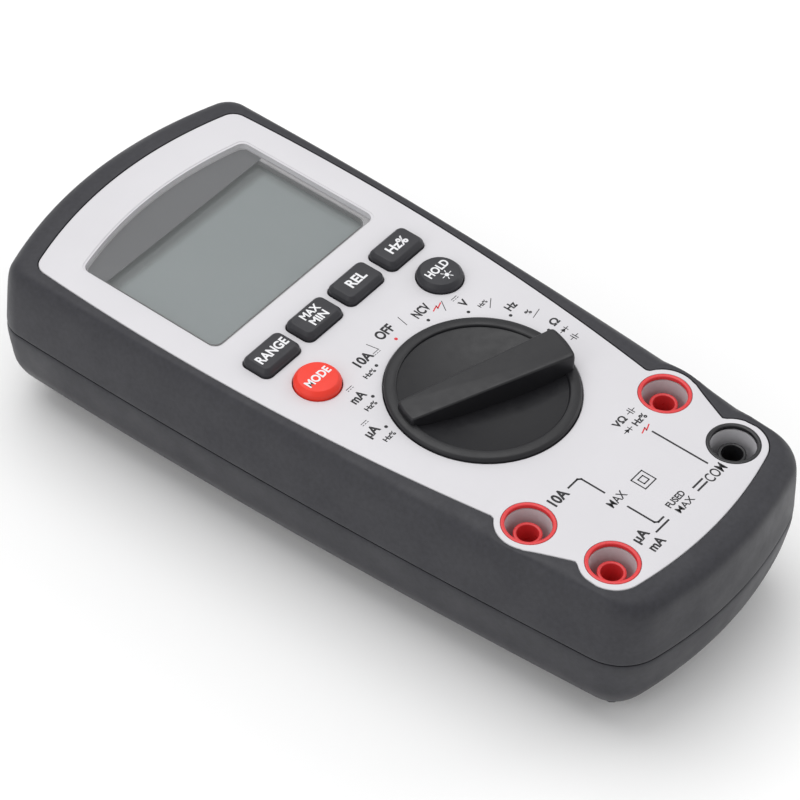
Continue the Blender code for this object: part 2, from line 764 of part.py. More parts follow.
def click_ball(name, axis, side):
    """Steel ball in a rotor pocket."""
    bm = bmesh.new()
    bmesh.ops.create_uvsphere(bm, u_segments=12, v_segments=8, radius=1.5 * MM)
    at = (side * 12.5, 0, BOARD_TOP + 1.0 - PANEL_Z + 3.1)
    ball = place(name, mesh_from(bm, name), STEEL, at=at, parent=axis)
    ball.data.shade_smooth()
    return ball


def wiper_contact(axis):
    """Brass bridge under the rotor: a sector that joins the board's tracks."""
    low = BOARD_TOP + 0.3 - PANEL_Z
    span = [math.radians(angle) for angle in range(60, 121, 10)]
    rings = []
    for z in (low, low + 0.4):
        outer = [(14.0 * math.cos(a), 14.0 * math.sin(a), z) for a in span]
        inner = [(9.0 * math.cos(a), 9.0 * math.sin(a), z) for a in reversed(span)]
        rings.append(outer + inner)
    return loft("wiper_contact", rings, BRASS, parent=axis)


def detent_ring():
    """Fixed ring above the balls, with a notch at every click position."""
    low = BOARD_TOP + 6.2
    profile = [(15.5, low + 1.8), (15.5, low), (9.6, low), (9.6, low + 1.8)]
    ring = turned("detent_ring", profile, WHITE, steps=24, ring=True, at=(0, KNOB_Y, 0))
    for index in range(16):
        turn = math.radians(KNOB_STEP * index)
        at = (12.5 * math.cos(turn), KNOB_Y + 12.5 * math.sin(turn), low)
        cut(ring, rod(f"notch_{index}", 0.8, -3.6, 3.6, None, "X", 6, at=at, turn=(0, 0, turn)))
    return ring


def knob_seal():
    """O-ring on the shaft, in the collar under the panel."""
    section = []
    for step in range(6):
        angle = -2 * math.pi * step / 6
        section.append((6.3 + 0.65 * math.cos(angle), 0.65 * math.sin(angle)))
    return turned("knob_seal", section, RUBBER_BLACK, steps=16, ring=True, at=(0, KNOB_Y, PANEL_Z - 5.8))


# ---- Test-lead sockets -------------------------------------------------------------------------------


def jack(name, x, y, colour):
    """Coloured ring on the panel, coloured insulating tube in the well and a brass contact through its floor."""
    finish = PLASTIC_RED if colour == "red" else PLASTIC_BLACK
    at = (x, y, PANEL_Z)
    ring = [(RING_OUTER, 0.1), (RING_OUTER, -0.8), (WELL_RADIUS + 0.1, -0.8), (WELL_RADIUS + 0.1, 0.1)]
    turned(f"jack_ring_{name}", ring, finish, steps=20, ring=True, at=at)
    foot = WELL_FLOOR + GAP
    tube = [(TUBE_OUTER, TUBE_RIM), (TUBE_OUTER, foot), (TUBE_INNER, foot), (TUBE_INNER, TUBE_RIM)]
    turned(f"jack_tube_{name}", tube, finish, steps=16, ring=True, at=at)
    contact = [(2.85, foot - GAP), (2.85, -16.0), (2.05, -16.0), (2.05, foot - GAP)]
    turned(f"jack_contact_{name}", contact, BRASS, steps=12, ring=True, at=at)


# ---- Circuit board and what is on it -----------------------------------------------------------------


def circuit_board():
    """Board on the front half, with holes for the socket contacts and clearance for the posts."""
    rings = [case_ring(z, WALL_INNER_INSET + 0.6) for z in (BOARD_BOTTOM, BOARD_TOP)]
    board = loft("circuit_board", rings, BOARD_GREEN)
    for name, (x, y, _) in JACKS.items():
        cut(board, rod(f"contact_hole_{name}", 3.2, 20, 30, None, sides=16, at=(x, y, 0)))
    for index, (x, y) in enumerate(CASE_SCREWS):
        cut(board, rod(f"post_hole_{index}", 3.6, 20, 30, None, sides=16, at=(x, y, 0)))
    return board


def fuse(name, radius, half, y):
    """Fuse cartridge across the board's underside, with a spring clip at each end."""
    z = BOARD_BOTTOM - 1.4 - radius
    body = [(0, half), (radius, half), (radius, -half), (0, -half)]
    turned(name, body, CERAMIC, steps=20, at=(0, y, z), turn=(0, math.pi / 2, 0))
    for label, sign in (("left", -1), ("right", 1)):
        outer = radius + 0.9
        inner = radius + 0.35
        arc = [math.radians(angle) for angle in range(-30, 211, 30)]
        rings = []
        for x in (sign * (half - 6.0), sign * (half - 1.0)):
            ring = [(x, outer * math.cos(a), outer * math.sin(a)) for a in arc]
            ring += [(x, inner * math.cos(a), inner * math.sin(a)) for a in reversed(arc)]
            rings.append(ring)
        loft(f"{name}_clip_{label}", rings, BRASS, at=(0, y, z))


def board_parts():
    """What the board carries on its underside."""
    fuse("fuse_10a", 5.15, 19.0, -28.0)
    fuse("fuse_ma", 3.2, 16.0, -44.0)
    chip_top = BOARD_BOTTOM - GAP
    block("main_chip", (7.0, 7.0), 0.3, chip_top - 1.6, chip_top, PLASTIC_BLACK, centre=(-16.0, -10.0))
    rod("buzzer", 7.5, BOARD_BOTTOM - 4.8, BOARD_BOTTOM - GAP, PLASTIC_BLACK, sides=28, at=(17.0, -10.0, 0))
    rod("varistor", 5.0, -2.0, 2.0, BLUE, "X", 20, at=(-14.0, -59.0, BOARD_BOTTOM - 5.6))
    curve = bpy.data.curves.new("current_shunt", "CURVE")
    curve.dimensions = "3D"
    curve.bevel_depth = 0.9 * MM
    curve.bevel_resolution = 2
    curve.use_fill_caps = True
    spline = curve.splines.new("POLY")
    steps = 12
    spline.points.add(steps)
    for step in range(steps + 1):
        angle = math.pi * step / steps
        x = 8.0 * math.cos(angle)
        z = -8.0 * math.sin(angle)
        spline.points[step].co = (x * MM, 0, z * MM, 1)
    curve.materials.append(material(COPPER))
    shunt = bpy.data.objects.new("current_shunt", curve)
    shunt.location = Vector((4.0, -60.0, BOARD_BOTTOM - GAP)) * MM
    PARTS.objects.link(shunt)


# ---- Battery -----------------------------------------------------------------------------------------


def battery_set():
    """Nine-volt block in its bay, its snap, and the sealed lid held by two screws."""
    centre = (0, DOOR_Y + 2.6)
    block("battery", (13.2, 23.4), 1.8, 5.6, 22.8, PLASTIC_DARK, centre=centre)
    block("battery_snap", (12.6, 1.9), 0.8, 6.4, 21.8, PLASTIC_BLACK, centre=(0, DOOR_Y - 23.2))
    block("battery_door", DOOR_HALF, 2.0, 0.3, 2.4, PLASTIC_DARK, centre=(0, DOOR_Y))
    door = PARTS.objects["battery_door"]
    seal_outer = (BAY_HALF[0] + 2.3, BAY_HALF[1] + 1.6)
    seal_inner = (BAY_HALF[0] + 0.9, BAY_HALF[1] + 0.4)
    frame("battery_door_seal", seal_outer, seal_inner, 2.0, 2.7, 3.6, RUBBER_BLACK, centre=(0, DOOR_Y))
    profile = [(0, 10.0), (1.2, 10.0), (1.2, 1.4), (2.0, 1.4), (2.0, 0.5), (0, 0.5)]
    for label, sign in (("upper", 1), ("lower", -1)):
        at = (0, DOOR_Y + sign * 31.0, 0)
        turned(f"battery_door_screw_{label}", profile, STEEL, steps=12, at=at)
        cut(door, rod(f"lid_hole_{sign}", 1.5, -5, 5, None, sides=16, at=at))
        cut(door, rod(f"lid_counterbore_{sign}", 2.4, -5, 1.7, None, sides=20, at=at))


# ---- Tilt stand --------------------------------------------------------------------------------------


def tilt_stand():
    """Plate that folds into the back: a barrel on a steel pin, and a finger notch at the free end."""
    axis = pivot("stand_axis", (0, STAND_Y, STAND_Z))
    half = (STAND_WIDTH / 2, (STAND_LENGTH - 1.0) / 2)
    centre = (0, -STAND_LENGTH / 2 - 0.5)
    plate = block("tilt_stand", half, 3.0, -1.8, 0.9, PLASTIC_DARK, centre=centre, parent=axis)
    add(plate, rod("barrel", 1.9, -STAND_WIDTH / 2, STAND_WIDTH / 2, None, "X", 20, parent=axis))
    cut(plate, rod("barrel_bore", 1.25, -STAND_WIDTH, STAND_WIDTH, None, "X", 16, parent=axis))
    cut(plate, rod("finger_notch", 9.0, -5, 5, None, sides=28, at=(0, -STAND_LENGTH - 4.6, 0), parent=axis))
    pin_half = STAND_WIDTH / 2 + 2.2
    rod("stand_pin", 0.95, -pin_half, pin_half, STEEL, "X", 12, at=(0, STAND_Y, STAND_Z))


# ---- Assembly ----------------------------------------------------------------------------------------

front_bumper()
rear_bumper()
front_case()
rear_case()
case_gasket()
for number, (screw_x, screw_y) in enumerate(CASE_SCREWS, start=1):
    case_screw(f"case_screw_{number}", (screw_x, screw_y, 0))
display()
for key_name, key_x in zip(("key_range", "key_max_min", "key_rel", "key_hz"), key_places()):
    oblong_key(key_name, key_x)
round_key("key_mode", -1, PLASTIC_RED)
round_key("key_hold", 1, PLASTIC_DARK)
keypad_mat()
switch_axis = pivot("switch_axis", (0, KNOB_Y, PANEL_Z))
selector_knob(switch_axis)
switch_rotor(switch_axis)
click_ball("click_ball_left", switch_axis, -1)
click_ball("click_ball_right", switch_axis, 1)
wiper_contact(switch_axis)
detent_ring()
knob_seal()
for jack_name, (jack_x, jack_y, jack_colour) in JACKS.items():
    jack(jack_name, jack_x, jack_y, jack_colour)
circuit_board()
board_parts()
battery_set()
tilt_stand()
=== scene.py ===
import math

import bmesh
import bpy
import numpy as np
from mathutils import Matrix, Vector
from mathutils.geometry import delaunay_2d_cdt
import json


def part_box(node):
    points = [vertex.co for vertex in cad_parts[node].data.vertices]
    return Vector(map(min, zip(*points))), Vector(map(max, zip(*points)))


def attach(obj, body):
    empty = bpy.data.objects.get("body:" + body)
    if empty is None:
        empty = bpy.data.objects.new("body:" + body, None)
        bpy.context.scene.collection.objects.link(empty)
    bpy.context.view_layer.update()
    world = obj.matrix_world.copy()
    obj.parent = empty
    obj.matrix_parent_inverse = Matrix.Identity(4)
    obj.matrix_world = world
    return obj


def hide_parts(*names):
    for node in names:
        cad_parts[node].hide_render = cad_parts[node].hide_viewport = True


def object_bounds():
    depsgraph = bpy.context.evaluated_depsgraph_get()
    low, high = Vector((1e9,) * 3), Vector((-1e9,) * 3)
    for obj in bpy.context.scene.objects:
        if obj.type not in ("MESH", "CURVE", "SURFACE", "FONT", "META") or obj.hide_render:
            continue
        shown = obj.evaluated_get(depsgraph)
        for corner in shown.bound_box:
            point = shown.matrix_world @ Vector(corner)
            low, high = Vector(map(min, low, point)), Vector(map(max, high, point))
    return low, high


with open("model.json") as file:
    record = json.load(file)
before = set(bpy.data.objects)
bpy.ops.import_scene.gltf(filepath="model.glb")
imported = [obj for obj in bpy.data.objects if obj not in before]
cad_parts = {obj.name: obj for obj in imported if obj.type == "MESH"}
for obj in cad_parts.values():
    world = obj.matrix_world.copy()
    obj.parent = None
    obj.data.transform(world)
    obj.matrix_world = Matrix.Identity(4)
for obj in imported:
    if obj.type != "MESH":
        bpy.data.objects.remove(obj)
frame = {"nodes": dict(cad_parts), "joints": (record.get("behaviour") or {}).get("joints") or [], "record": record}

cad_low, cad_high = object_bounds()

# ---- Table, light and camera ---------------------------------------------------------------------
# The meter lies on its back on a white sheet, under one broad lamp above and a panel at each side.

MM = 0.001
CAMERA_TARGET = Vector((-14.03, -10.29, 40.0)) * MM
CAMERA_AZIMUTH, CAMERA_ELEVATION, CAMERA_ROLL = -53.84, 46.12, 2.96
CAMERA_DISTANCE = 0.75326
CAMERA_LENS, SENSOR_WIDTH = 157.1, 36
ROOM_LIGHT = 0.66
TABLE_HALF = 4
PAPER_WHITE = (0.97, 0.97, 0.97)
PLASTIC_SPECULAR = 0.4


def camera_axes(azimuth, elevation, roll):
    """Right, up and back unit vectors of a camera that looks down at an angle and is turned about its own
    line of sight."""
    a, e, r = (math.radians(v) for v in (azimuth, elevation, roll))
    back = Vector((math.sin(a) * math.cos(e), -math.cos(a) * math.cos(e), math.sin(e)))
    level = Vector((math.cos(a), math.sin(a), 0))
    upright = level.cross(-back)
    right = math.cos(r) * level + math.sin(r) * upright
    return right, -math.sin(r) * level + math.cos(r) * upright, back


camera_data = bpy.data.cameras.new("camera")
camera_data.lens = CAMERA_LENS
camera_data.sensor_width = SENSOR_WIDTH
camera_data.clip_start, camera_data.clip_end = 0.01, 20
camera = bpy.data.objects.new("camera", camera_data)
bpy.context.scene.collection.objects.link(camera)
right, up, back = camera_axes(CAMERA_AZIMUTH, CAMERA_ELEVATION, CAMERA_ROLL)
camera.matrix_world = Matrix.Translation(CAMERA_TARGET + back * CAMERA_DISTANCE) @ Matrix(
    (right, up, back)
).transposed().to_4x4()
bpy.context.scene.camera = camera
bpy.context.scene.view_settings.view_transform = "Standard"


def softbox(name, size, place, target, watts):
    """A white rectangular lamp at a place, facing a point."""
    data = bpy.data.lights.new(name, "AREA")
    data.shape = "RECTANGLE"
    data.size, data.size_y = size
    data.energy = watts
    lamp = bpy.data.objects.new(name, data)
    bpy.context.scene.collection.objects.link(lamp)
    lamp.location = place
    lamp.rotation_euler = (Vector(target) - Vector(place)).to_track_quat("-Z", "Y").to_euler()


softbox("lamp_above", size=(1.6, 1.2), place=(0.15, 0.5, 1.5), target=(0, 0, 0), watts=12.5)
softbox("lamp_left", size=(0.7, 0.9), place=(-1.2, 0.25, 0.55), target=(0, 0, 0.02), watts=2.6)
softbox("lamp_right", size=(0.7, 0.9), place=(1.1, -0.5, 0.6), target=(0, 0, 0.02), watts=2.4)

world = bpy.data.worlds.new("room")
world.use_nodes = True
backdrop = world.node_tree.nodes["Background"]
backdrop.inputs["Color"].default_value = (1, 1, 1, 1)
backdrop.inputs["Strength"].default_value = ROOM_LIGHT
bpy.context.scene.world = world


def node_material(name, colour, roughness, metallic=0.0):
    """A material with a Principled shader; also its tree, the shader and the Object coordinates."""
    made = bpy.data.materials.new(name)
    made.use_nodes = True
    tree = made.node_tree
    shader = tree.nodes["Principled BSDF"]
    shader.inputs["Base Color"].default_value = (*colour, 1)
    shader.inputs["Roughness"].default_value = roughness
    shader.inputs["Metallic"].default_value = metallic
    shader.inputs["Specular IOR Level"].default_value = PLASTIC_SPECULAR
    place = tree.nodes.new("ShaderNodeTexCoord").outputs["Object"]
    return made, tree, shader, place


def noise(tree, place, scale, detail=3.0):
    """A noise pattern over the piece; scale is in lumps a metre."""
    made = tree.nodes.new("ShaderNodeTexNoise")
    made.inputs["Scale"].default_value = scale
    made.inputs["Detail"].default_value = detail
    tree.links.new(place, made.inputs["Vector"])
    return made.outputs["Fac"]


def relief(tree, shader, value, depth_mm):
    """A pattern as fine bumps of a depth in millimetres."""
    bump = tree.nodes.new("ShaderNodeBump")
    bump.inputs["Strength"].default_value = 1.0
    bump.inputs["Distance"].default_value = depth_mm * MM
    tree.links.new(value, bump.inputs["Height"])
    tree.links.new(bump.outputs["Normal"], shader.inputs["Normal"])


floor_mesh = bpy.data.meshes.new("table")
table_corners = [(TABLE_HALF * x, TABLE_HALF * y, 0) for x, y in ((-1, -1), (1, -1), (1, 1), (-1, 1))]
floor_mesh.from_pydata(table_corners, [], [(0, 1, 2, 3)])
floor = bpy.data.objects.new("table", floor_mesh)
bpy.context.scene.collection.objects.link(floor)
paper, paper_tree, paper_shader, paper_place = node_material("white_paper", PAPER_WHITE, 0.9)
relief(paper_tree, paper_shader, noise(paper_tree, paper_place, scale=900), depth_mm=0.01)
floor_mesh.materials.append(paper)

# ---- Rubber over the front half --------------------------------------------------------------------
# A soft dark rubber skin moulded over the front case: it flares out from the edge of the light panel,
# rolls over a round shoulder and ends at the parting line with a small lip.

PANEL_Z = float(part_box("front_case")[1].z) / MM
HALF_GAP = 0.15
PARTING_Z = float(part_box("front_bumper")[0].z) / MM - HALF_GAP
HALF_LENGTH = cad_high.y / MM
SIDE_WIDEST, SIDE_WIDEST_Y, SIDE_TAPER, END_BOW = 41.2, 76.0, 0.0003, 0.005
SIDE_FROM, SIDE_TO = -71, 72
CASE_CORNER, LEAST_CORNER = {-1: 12.0, 1: 8.0}, 2.5
PANEL_WIDEST, PANEL_WIDEST_Y, PANEL_TAPER, PANEL_END = 35.3, 45.0, 0.0009, 83.2
PANEL_CORNER = {-1: 7.4, 1: 4.0}
LOBE_RADIUS, LOBE_TAPER = 7.4, 0.44
WALL_INSET = 5.2
CORNER_STEPS, END_STEPS, SIDE_STEPS = 14, 18, 170
MERGE_DISTANCE = 2e-6
RUBBER = (0.025, 0.025, 0.031)


def middle_of(node):
    """The middle of a CAD piece seen from above, in millimetres."""
    low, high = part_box(node)
    return np.array((low + high) / 2)[:2] / MM


jack_at = {name: middle_of(f"jack_ring_{name}") for name in ("10a", "ma", "volt", "com")}


def soft_max(a, b, blend=0.4):
    """The larger of two values, with the change-over rounded."""
    return 0.5 * (a + b + np.sqrt((a - b) ** 2 + blend**2))


def case_side(inset):
    """Half width of the case along its length: a parabola, widest near the display."""
    return lambda y: SIDE_WIDEST - SIDE_TAPER * (SIDE_WIDEST_Y - y) ** 2 - inset


def panel_side(grow):
    """Half width of the panel: a shallow barrel, a round lobe beside each socket, and a straight tangent
    from the upper lobe down to the lower one."""
    lean = math.atan(LOBE_TAPER)

    def half_width(y):
        width = PANEL_WIDEST - PANEL_TAPER * (PANEL_WIDEST_Y - y) ** 2
        x, centre = jack_at["volt"]
        touch_x, touch_y = x + LOBE_RADIUS * math.cos(lean), centre - LOBE_RADIUS * math.sin(lean)
        tangent = soft_max(width, touch_x + LOBE_TAPER * (y - touch_y))
        width = np.where(y < touch_y, tangent, width)
        for key in ("volt", "com"):
            x, centre = jack_at[key]
            reach = np.sqrt(np.maximum(LOBE_RADIUS**2 - (y - centre) ** 2, 0))
            width = soft_max(width, x + reach)
        return width + grow

    return half_width


def outline(side, end_y, radii):
    """A closed outline, anticlockwise from the bottom middle: half a bowed end, a round corner tangent to
    end and side, the side, the other corner and half end, and then the mirror image."""

    def end(sign, x):
        return sign * (end_y - END_BOW * x * x)

    turns = {}
    first_guess, rounds = 30.0, 12
    for sign, radius in radii.items():
        cy, slope = end(sign, first_guess), 0.0
        for _ in range(rounds):
            cx = float(side(np.float64(cy))) - radius
            touch = cx + radius * math.sin(slope)
            slope = math.atan(2 * END_BOW * touch)
            cy = end(sign, touch) - sign * radius * math.cos(slope)
        turns[sign] = cx, cy, slope, touch
    bx, by, b_slope, b_touch = turns[-1]
    tx, ty, t_slope, t_touch = turns[1]
    along = np.linspace(0, b_touch, END_STEPS, endpoint=False)
    angle = np.linspace(b_slope - math.pi / 2, 0, CORNER_STEPS, endpoint=False)
    height = np.linspace(SIDE_FROM, SIDE_TO, SIDE_STEPS)
    turn = np.linspace(0, math.pi / 2 - t_slope, CORNER_STEPS + 1)[1:]
    back_to = np.linspace(t_touch, 0, END_STEPS + 1)[1:]
    half = np.concatenate(
        [
            np.c_[along, end(-1, along)],
            np.c_[bx + radii[-1] * np.cos(angle), by + radii[-1] * np.sin(angle)],
            np.c_[side(height), height],
            np.c_[tx + radii[1] * np.cos(turn), ty + radii[1] * np.sin(turn)],
            np.c_[back_to, end(1, back_to)],
        ]
    )
    return np.concatenate([half, half[-2:0:-1] * (-1, 1)])


def at_height(flat, z):
    """A flat outline lifted to a height."""
    return np.c_[flat, np.full(len(flat), float(z))]


def case_ring(z, inset, end_inset=None):
    """The case's outline pulled in by an inset, which may differ at the ends."""
    radii = {sign: max(radius - inset, LEAST_CORNER) for sign, radius in CASE_CORNER.items()}
    ends = inset if end_inset is None else end_inset
    return at_height(outline(case_side(inset), HALF_LENGTH - ends, radii), z)


def panel_ring(z, grow=0.0):
    """The panel's outline grown by a margin."""
    radii = {sign: radius + grow for sign, radius in PANEL_CORNER.items()}
    return at_height(outline(panel_side(grow), PANEL_END + grow, radii), z)


def lobed_ring(z, clearance=0.0):
    """The front wall's face, widened where the panel's lobes pass it."""
    inset = WALL_INSET - clearance
    radii = {sign: radius - inset for sign, radius in CASE_CORNER.items()}
    wall, lobes = case_side(inset), panel_side(clearance)
    return at_height(outline(lambda y: np.maximum(wall(y), lobes(y)), HALF_LENGTH - inset, radii), z)


def between(first, second, share, z):
    """A ring part of the way from one ring to another, at its own height."""
    return at_height((first + (second - first) * share)[:, :2], z)


def smooth_section(rings, steps=5):
    """Rings of a closed uniform cubic B-spline section, each the weighted mean of four neighbours. A ring
    given twice makes a tight round, and one given three times an edge."""
    rings = np.asarray(rings)
    t = (np.arange(steps) / steps)[:, None, None]
    weights = ((1 - t) ** 3, 3 * t**3 - 6 * t**2 + 4, -3 * t**3 + 3 * t**2 + 3 * t + 1, t**3)
    rows = [
        sum(w * rings[(first + k) % len(rings)] for k, w in enumerate(weights)) / 6
        for first in range(len(rings))
    ]
    return np.concatenate(rows)


def mesh_piece(name, points, faces, material, body, slot=None, replaces=(), sharp=35):
    """A piece from millimetre points and faces, riding on a body: doubles merged, smooth between edges of
    more than the sharp angle."""
    mesh = bpy.data.meshes.new(name)
    mesh.from_pydata((np.asarray(points) * MM).tolist(), [], faces)
    bm = bmesh.new()
    bm.from_mesh(mesh)
    bmesh.ops.remove_doubles(bm, verts=bm.verts, dist=MERGE_DISTANCE)
    bmesh.ops.recalc_face_normals(bm, faces=bm.faces)
    bm.to_mesh(mesh)
    bm.free()
    mesh.shade_smooth()
    mesh.set_sharp_from_angle(angle=math.radians(sharp))
    mesh.materials.append(material)
    made = bpy.data.objects.new(name, mesh)
    bpy.context.scene.collection.objects.link(made)
    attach(made, body)
    if replaces:
        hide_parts(*replaces)
    return made


def grid_faces(rows, columns, wrap=False):
    """Quads between neighbouring rings of points; wrap joins the last ring to the first."""
    row = np.arange(rows if wrap else rows - 1)[:, None]
    column = np.arange(columns)[None, :]
    after = (column + 1) % columns
    here, beyond = row * columns, (row + 1) % rows * columns
    quads = np.stack([here + column, here + after, beyond + after, beyond + column], -1)
    return quads.reshape(-1, 4).tolist()


def skin_piece(name, rings, material, body, **more):
    """A closed skin whose section is carried round the case."""
    rows, columns = rings.shape[:2]
    faces = grid_faces(rows, columns, wrap=True)
    return mesh_piece(name, rings.reshape(-1, 3), faces, material, body, **more)


def spread(tree, value, low, high, socket, floor=0.3, ceiling=0.7, smooth=False):
    """A pattern's values between floor and ceiling, stretched to run between two numbers or two colours,
    into a socket."""
    if isinstance(low, tuple):
        ramp = tree.nodes.new("ShaderNodeValToRGB")
        ramp.color_ramp.elements[0].position = floor
        ramp.color_ramp.elements[1].position = ceiling
        ramp.color_ramp.elements[0].color = (*low, 1)
        ramp.color_ramp.elements[1].color = (*high, 1)
        tree.links.new(value, ramp.inputs["Fac"])
        tree.links.new(ramp.outputs["Color"], socket)
        return
    span = tree.nodes.new("ShaderNodeMapRange")
    if smooth:
        span.interpolation_type = "SMOOTHSTEP"
    for name, number in (("From Min", floor), ("From Max", ceiling), ("To Min", low), ("To Max", high)):
        span.inputs[name].default_value = number
    tree.links.new(value, span.inputs["Value"])
    tree.links.new(span.outputs["Result"], socket)


def tinted(colour, share):
    """A colour made lighter or darker by a share."""
    return tuple(channel * share for channel in colour)


def rubber_material():
    """Overmoulded rubber: matt, with a mottled spark grain, slow paler clouds and a slight bloom."""
    made, tree, shader, place = node_material("bumper_rubber", RUBBER, 0.5)
    grain_share = 0.6
    mixed = tree.nodes.new("ShaderNodeMath")
    mixed.operation = "MULTIPLY_ADD"
    mixed.inputs[1].default_value = grain_share
    tree.links.new(noise(tree, place, scale=2600, detail=4), mixed.inputs[0])
    tree.links.new(noise(tree, place, scale=700, detail=2), mixed.inputs[2])
    relief(tree, shader, mixed.outputs["Value"], depth_mm=0.012)
    mottle = noise(tree, place, scale=900, detail=5)
    spread(tree, mottle, tinted(RUBBER, 0.84), tinted(RUBBER, 1.16), shader.inputs["Base Color"])
    spread(tree, noise(tree, place, scale=120, detail=3), 0.46, 0.6, shader.inputs["Roughness"])
    shader.inputs["Sheen Weight"].default_value = 0.04
    shader.inputs["Sheen Roughness"].default_value = 0.5
    return made


bumper_rubber = rubber_material()
LIP_GAP, WALL_GAP = 0.22, 0.35
lip = panel_ring(PANEL_Z, LIP_GAP)
shoulder = case_ring(PANEL_Z - 1.6, 2.3, 1.0)
inner_foot = lobed_ring(PARTING_Z + HALF_GAP, WALL_GAP)
front_section = [
    inner_foot,
    inner_foot,
    inner_foot,
    case_ring(PARTING_Z + HALF_GAP, 0.25),
    case_ring(PARTING_Z + HALF_GAP, 0.25),
    case_ring(PARTING_Z + 0.5, -0.05),
    case_ring(PARTING_Z + 3.0, 0.15),
    case_ring(PARTING_Z + 8.0, 0.75, 0.35),
    case_ring(PANEL_Z - 4.6, 1.35, 0.6),
    shoulder,
    between(shoulder, lip, 0.38, PANEL_Z - 0.1),
    between(shoulder, lip, 0.72, PANEL_Z + 0.05),
    at_height(lip[:, :2], PANEL_Z + 0.03),
    at_height(lip[:, :2], PANEL_Z + 0.03),
    panel_ring(PANEL_Z - 1.0, LIP_GAP),
    lobed_ring(PANEL_Z - 3.0, WALL_GAP),
    lobed_ring(PANEL_Z - 6.0, WALL_GAP),
]
skin_piece(
    "front_bumper_skin",
    smooth_section(front_section),
    bumper_rubber,
    "housing",
    slot="bumper_rubber",
    replaces=["front_bumper"],
)

# ---- Rubber over the rear half ---------------------------------------------------------------------
# The matching skin round the rear shell, which turns under towards the flat back.

rear_end = float(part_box("rear_bumper")[1].z) / MM
REAR_SKIN = 2.5
BACK_INSET, TURN_UNDER_Z = 9.2, 10.5
rear_foot = case_ring(rear_end, REAR_SKIN)
back_edge = case_ring(1.2, BACK_INSET)
rear_section = [
    rear_foot,
    rear_foot,
    rear_foot,
    case_ring(rear_end, 0.25),
    case_ring(rear_end, 0.25),
    case_ring(rear_end - 0.4, -0.05),
    case_ring(rear_end - 3.0, 0.1),
    case_ring(rear_end - 8.0, 0.9),
    case_ring(TURN_UNDER_Z + 2.0, 1.2),
    case_ring(TURN_UNDER_Z, 2.0),
    case_ring(TURN_UNDER_Z - 2.7, 3.5),
    case_ring(5.2, 5.4),
    case_ring(3.0, 7.4),
    back_edge,
    back_edge,
    back_edge,
    case_ring(3.8, BACK_INSET),
    case_ring(3.8, BACK_INSET),
    case_ring(6.6, 6.4),
    case_ring(TURN_UNDER_Z + 0.6, 1.8 + REAR_SKIN),
]
skin_piece(
    "rear_bumper_skin",
    smooth_section(rear_section),
    bumper_rubber,
    "housing",
    slot="bumper_rubber",
    replaces=["rear_bumper"],
)

# ---- Front panel -------------------------------------------------------------------------------------
# One light grey moulding: the flat panel with its display opening, key holes, knob dish and socket wells,
# and the wall behind it that the rubber is moulded on.

PANEL_THICK, WALL_THICK, PANEL_ROUND = 2.5, 2.4, 0.3
PANEL_GREY = (0.655, 0.645, 0.67)
knob_middle = np.array([0.0, float(frame["joints"][0]["pos_m"][1]) / MM])
KNOB_RADIUS, SHAFT_BORE, DISH_BACK = 21.6, 5.4, 24
DISH_FLOOR, DISH_UNDER = -2.6, -4.8
WINDOW_HALF, WINDOW_LOW, WINDOW_HIGH, WINDOW_ARCH = 28.1, 29.6, 69.9, 4.0
WINDOW_BEVEL, LENS_TOP, LENS_THICK, LENS_LEDGE = 0.35, -0.3, 1.3, 1.2
LENS_BED = 0.3
KEY_HALF, ROUND_KEY_RADIUS, KEY_HOLE_CORNER = (6.1, 3.8), 5.3, 1.9
ROUND_KEYS = ("mode", "hold")
KEY_NAMES = ("range", "max_min", "rel", "hz", *ROUND_KEYS)
CLEARANCE = 0.25


def circle(centre, radius, count=96):
    """Points round a circle, anticlockwise."""
    turn = np.arange(count) * 2 * math.pi / count
    return np.c_[centre[0] + radius * np.cos(turn), centre[1] + radius * np.sin(turn)]


def rounded_box(centre, half, radius, corner_steps=10):
    """Points round a rectangle with round corners, anticlockwise."""
    turn = np.linspace(0, math.pi / 2, corner_steps)
    corners = []
    for quarter, (sx, sy) in enumerate(((1, 1), (-1, 1), (-1, -1), (1, -1))):
        middle = centre[0] + sx * (half[0] - radius), centre[1] + sy * (half[1] - radius)
        angle = turn + quarter * math.pi / 2
        corners.append(np.c_[middle[0] + radius * np.cos(angle), middle[1] + radius * np.sin(angle)])
    return np.concatenate(corners)


def window_outline(inset, radius=2.2, steps=10):
    """The display opening: straight sides, round corners and a parabolic upper edge."""
    half, low, high = WINDOW_HALF - inset, WINDOW_LOW + inset, WINDOW_HIGH - inset
    turn = np.linspace(-math.pi / 2, 0, steps)
    bottom = np.c_[half - radius + radius * np.cos(turn), low + radius + radius * np.sin(turn)]
    slope = math.atan(2 * WINDOW_ARCH * (half - radius) / half**2)
    turn = np.linspace(0, math.pi / 2 - slope, steps)
    corner = np.c_[half - radius + radius * np.cos(turn), high - radius + radius * np.sin(turn)]
    x = np.linspace(corner[-1, 0], 0, 24)[1:]
    rise = corner[-1, 1] - (high + WINDOW_ARCH * (1 - (corner[-1, 0] / half) ** 2))
    arch = np.c_[x, high + WINDOW_ARCH * (1 - (x / half) ** 2) + rise]
    half_way = np.concatenate([bottom, corner, arch])
    return np.concatenate([half_way, half_way[-2::-1] * (-1, 1)])


def key_outline(name, corner, grow, inset=0.0):
    """A key from above, grown by a margin: a circle, or a rectangle with round corners."""
    middle = middle_of(f"key_{name}")
    if name in ROUND_KEYS:
        return circle(middle, ROUND_KEY_RADIUS + grow - inset, 72)
    return rounded_box(middle, [half + grow - inset for half in KEY_HALF], corner)


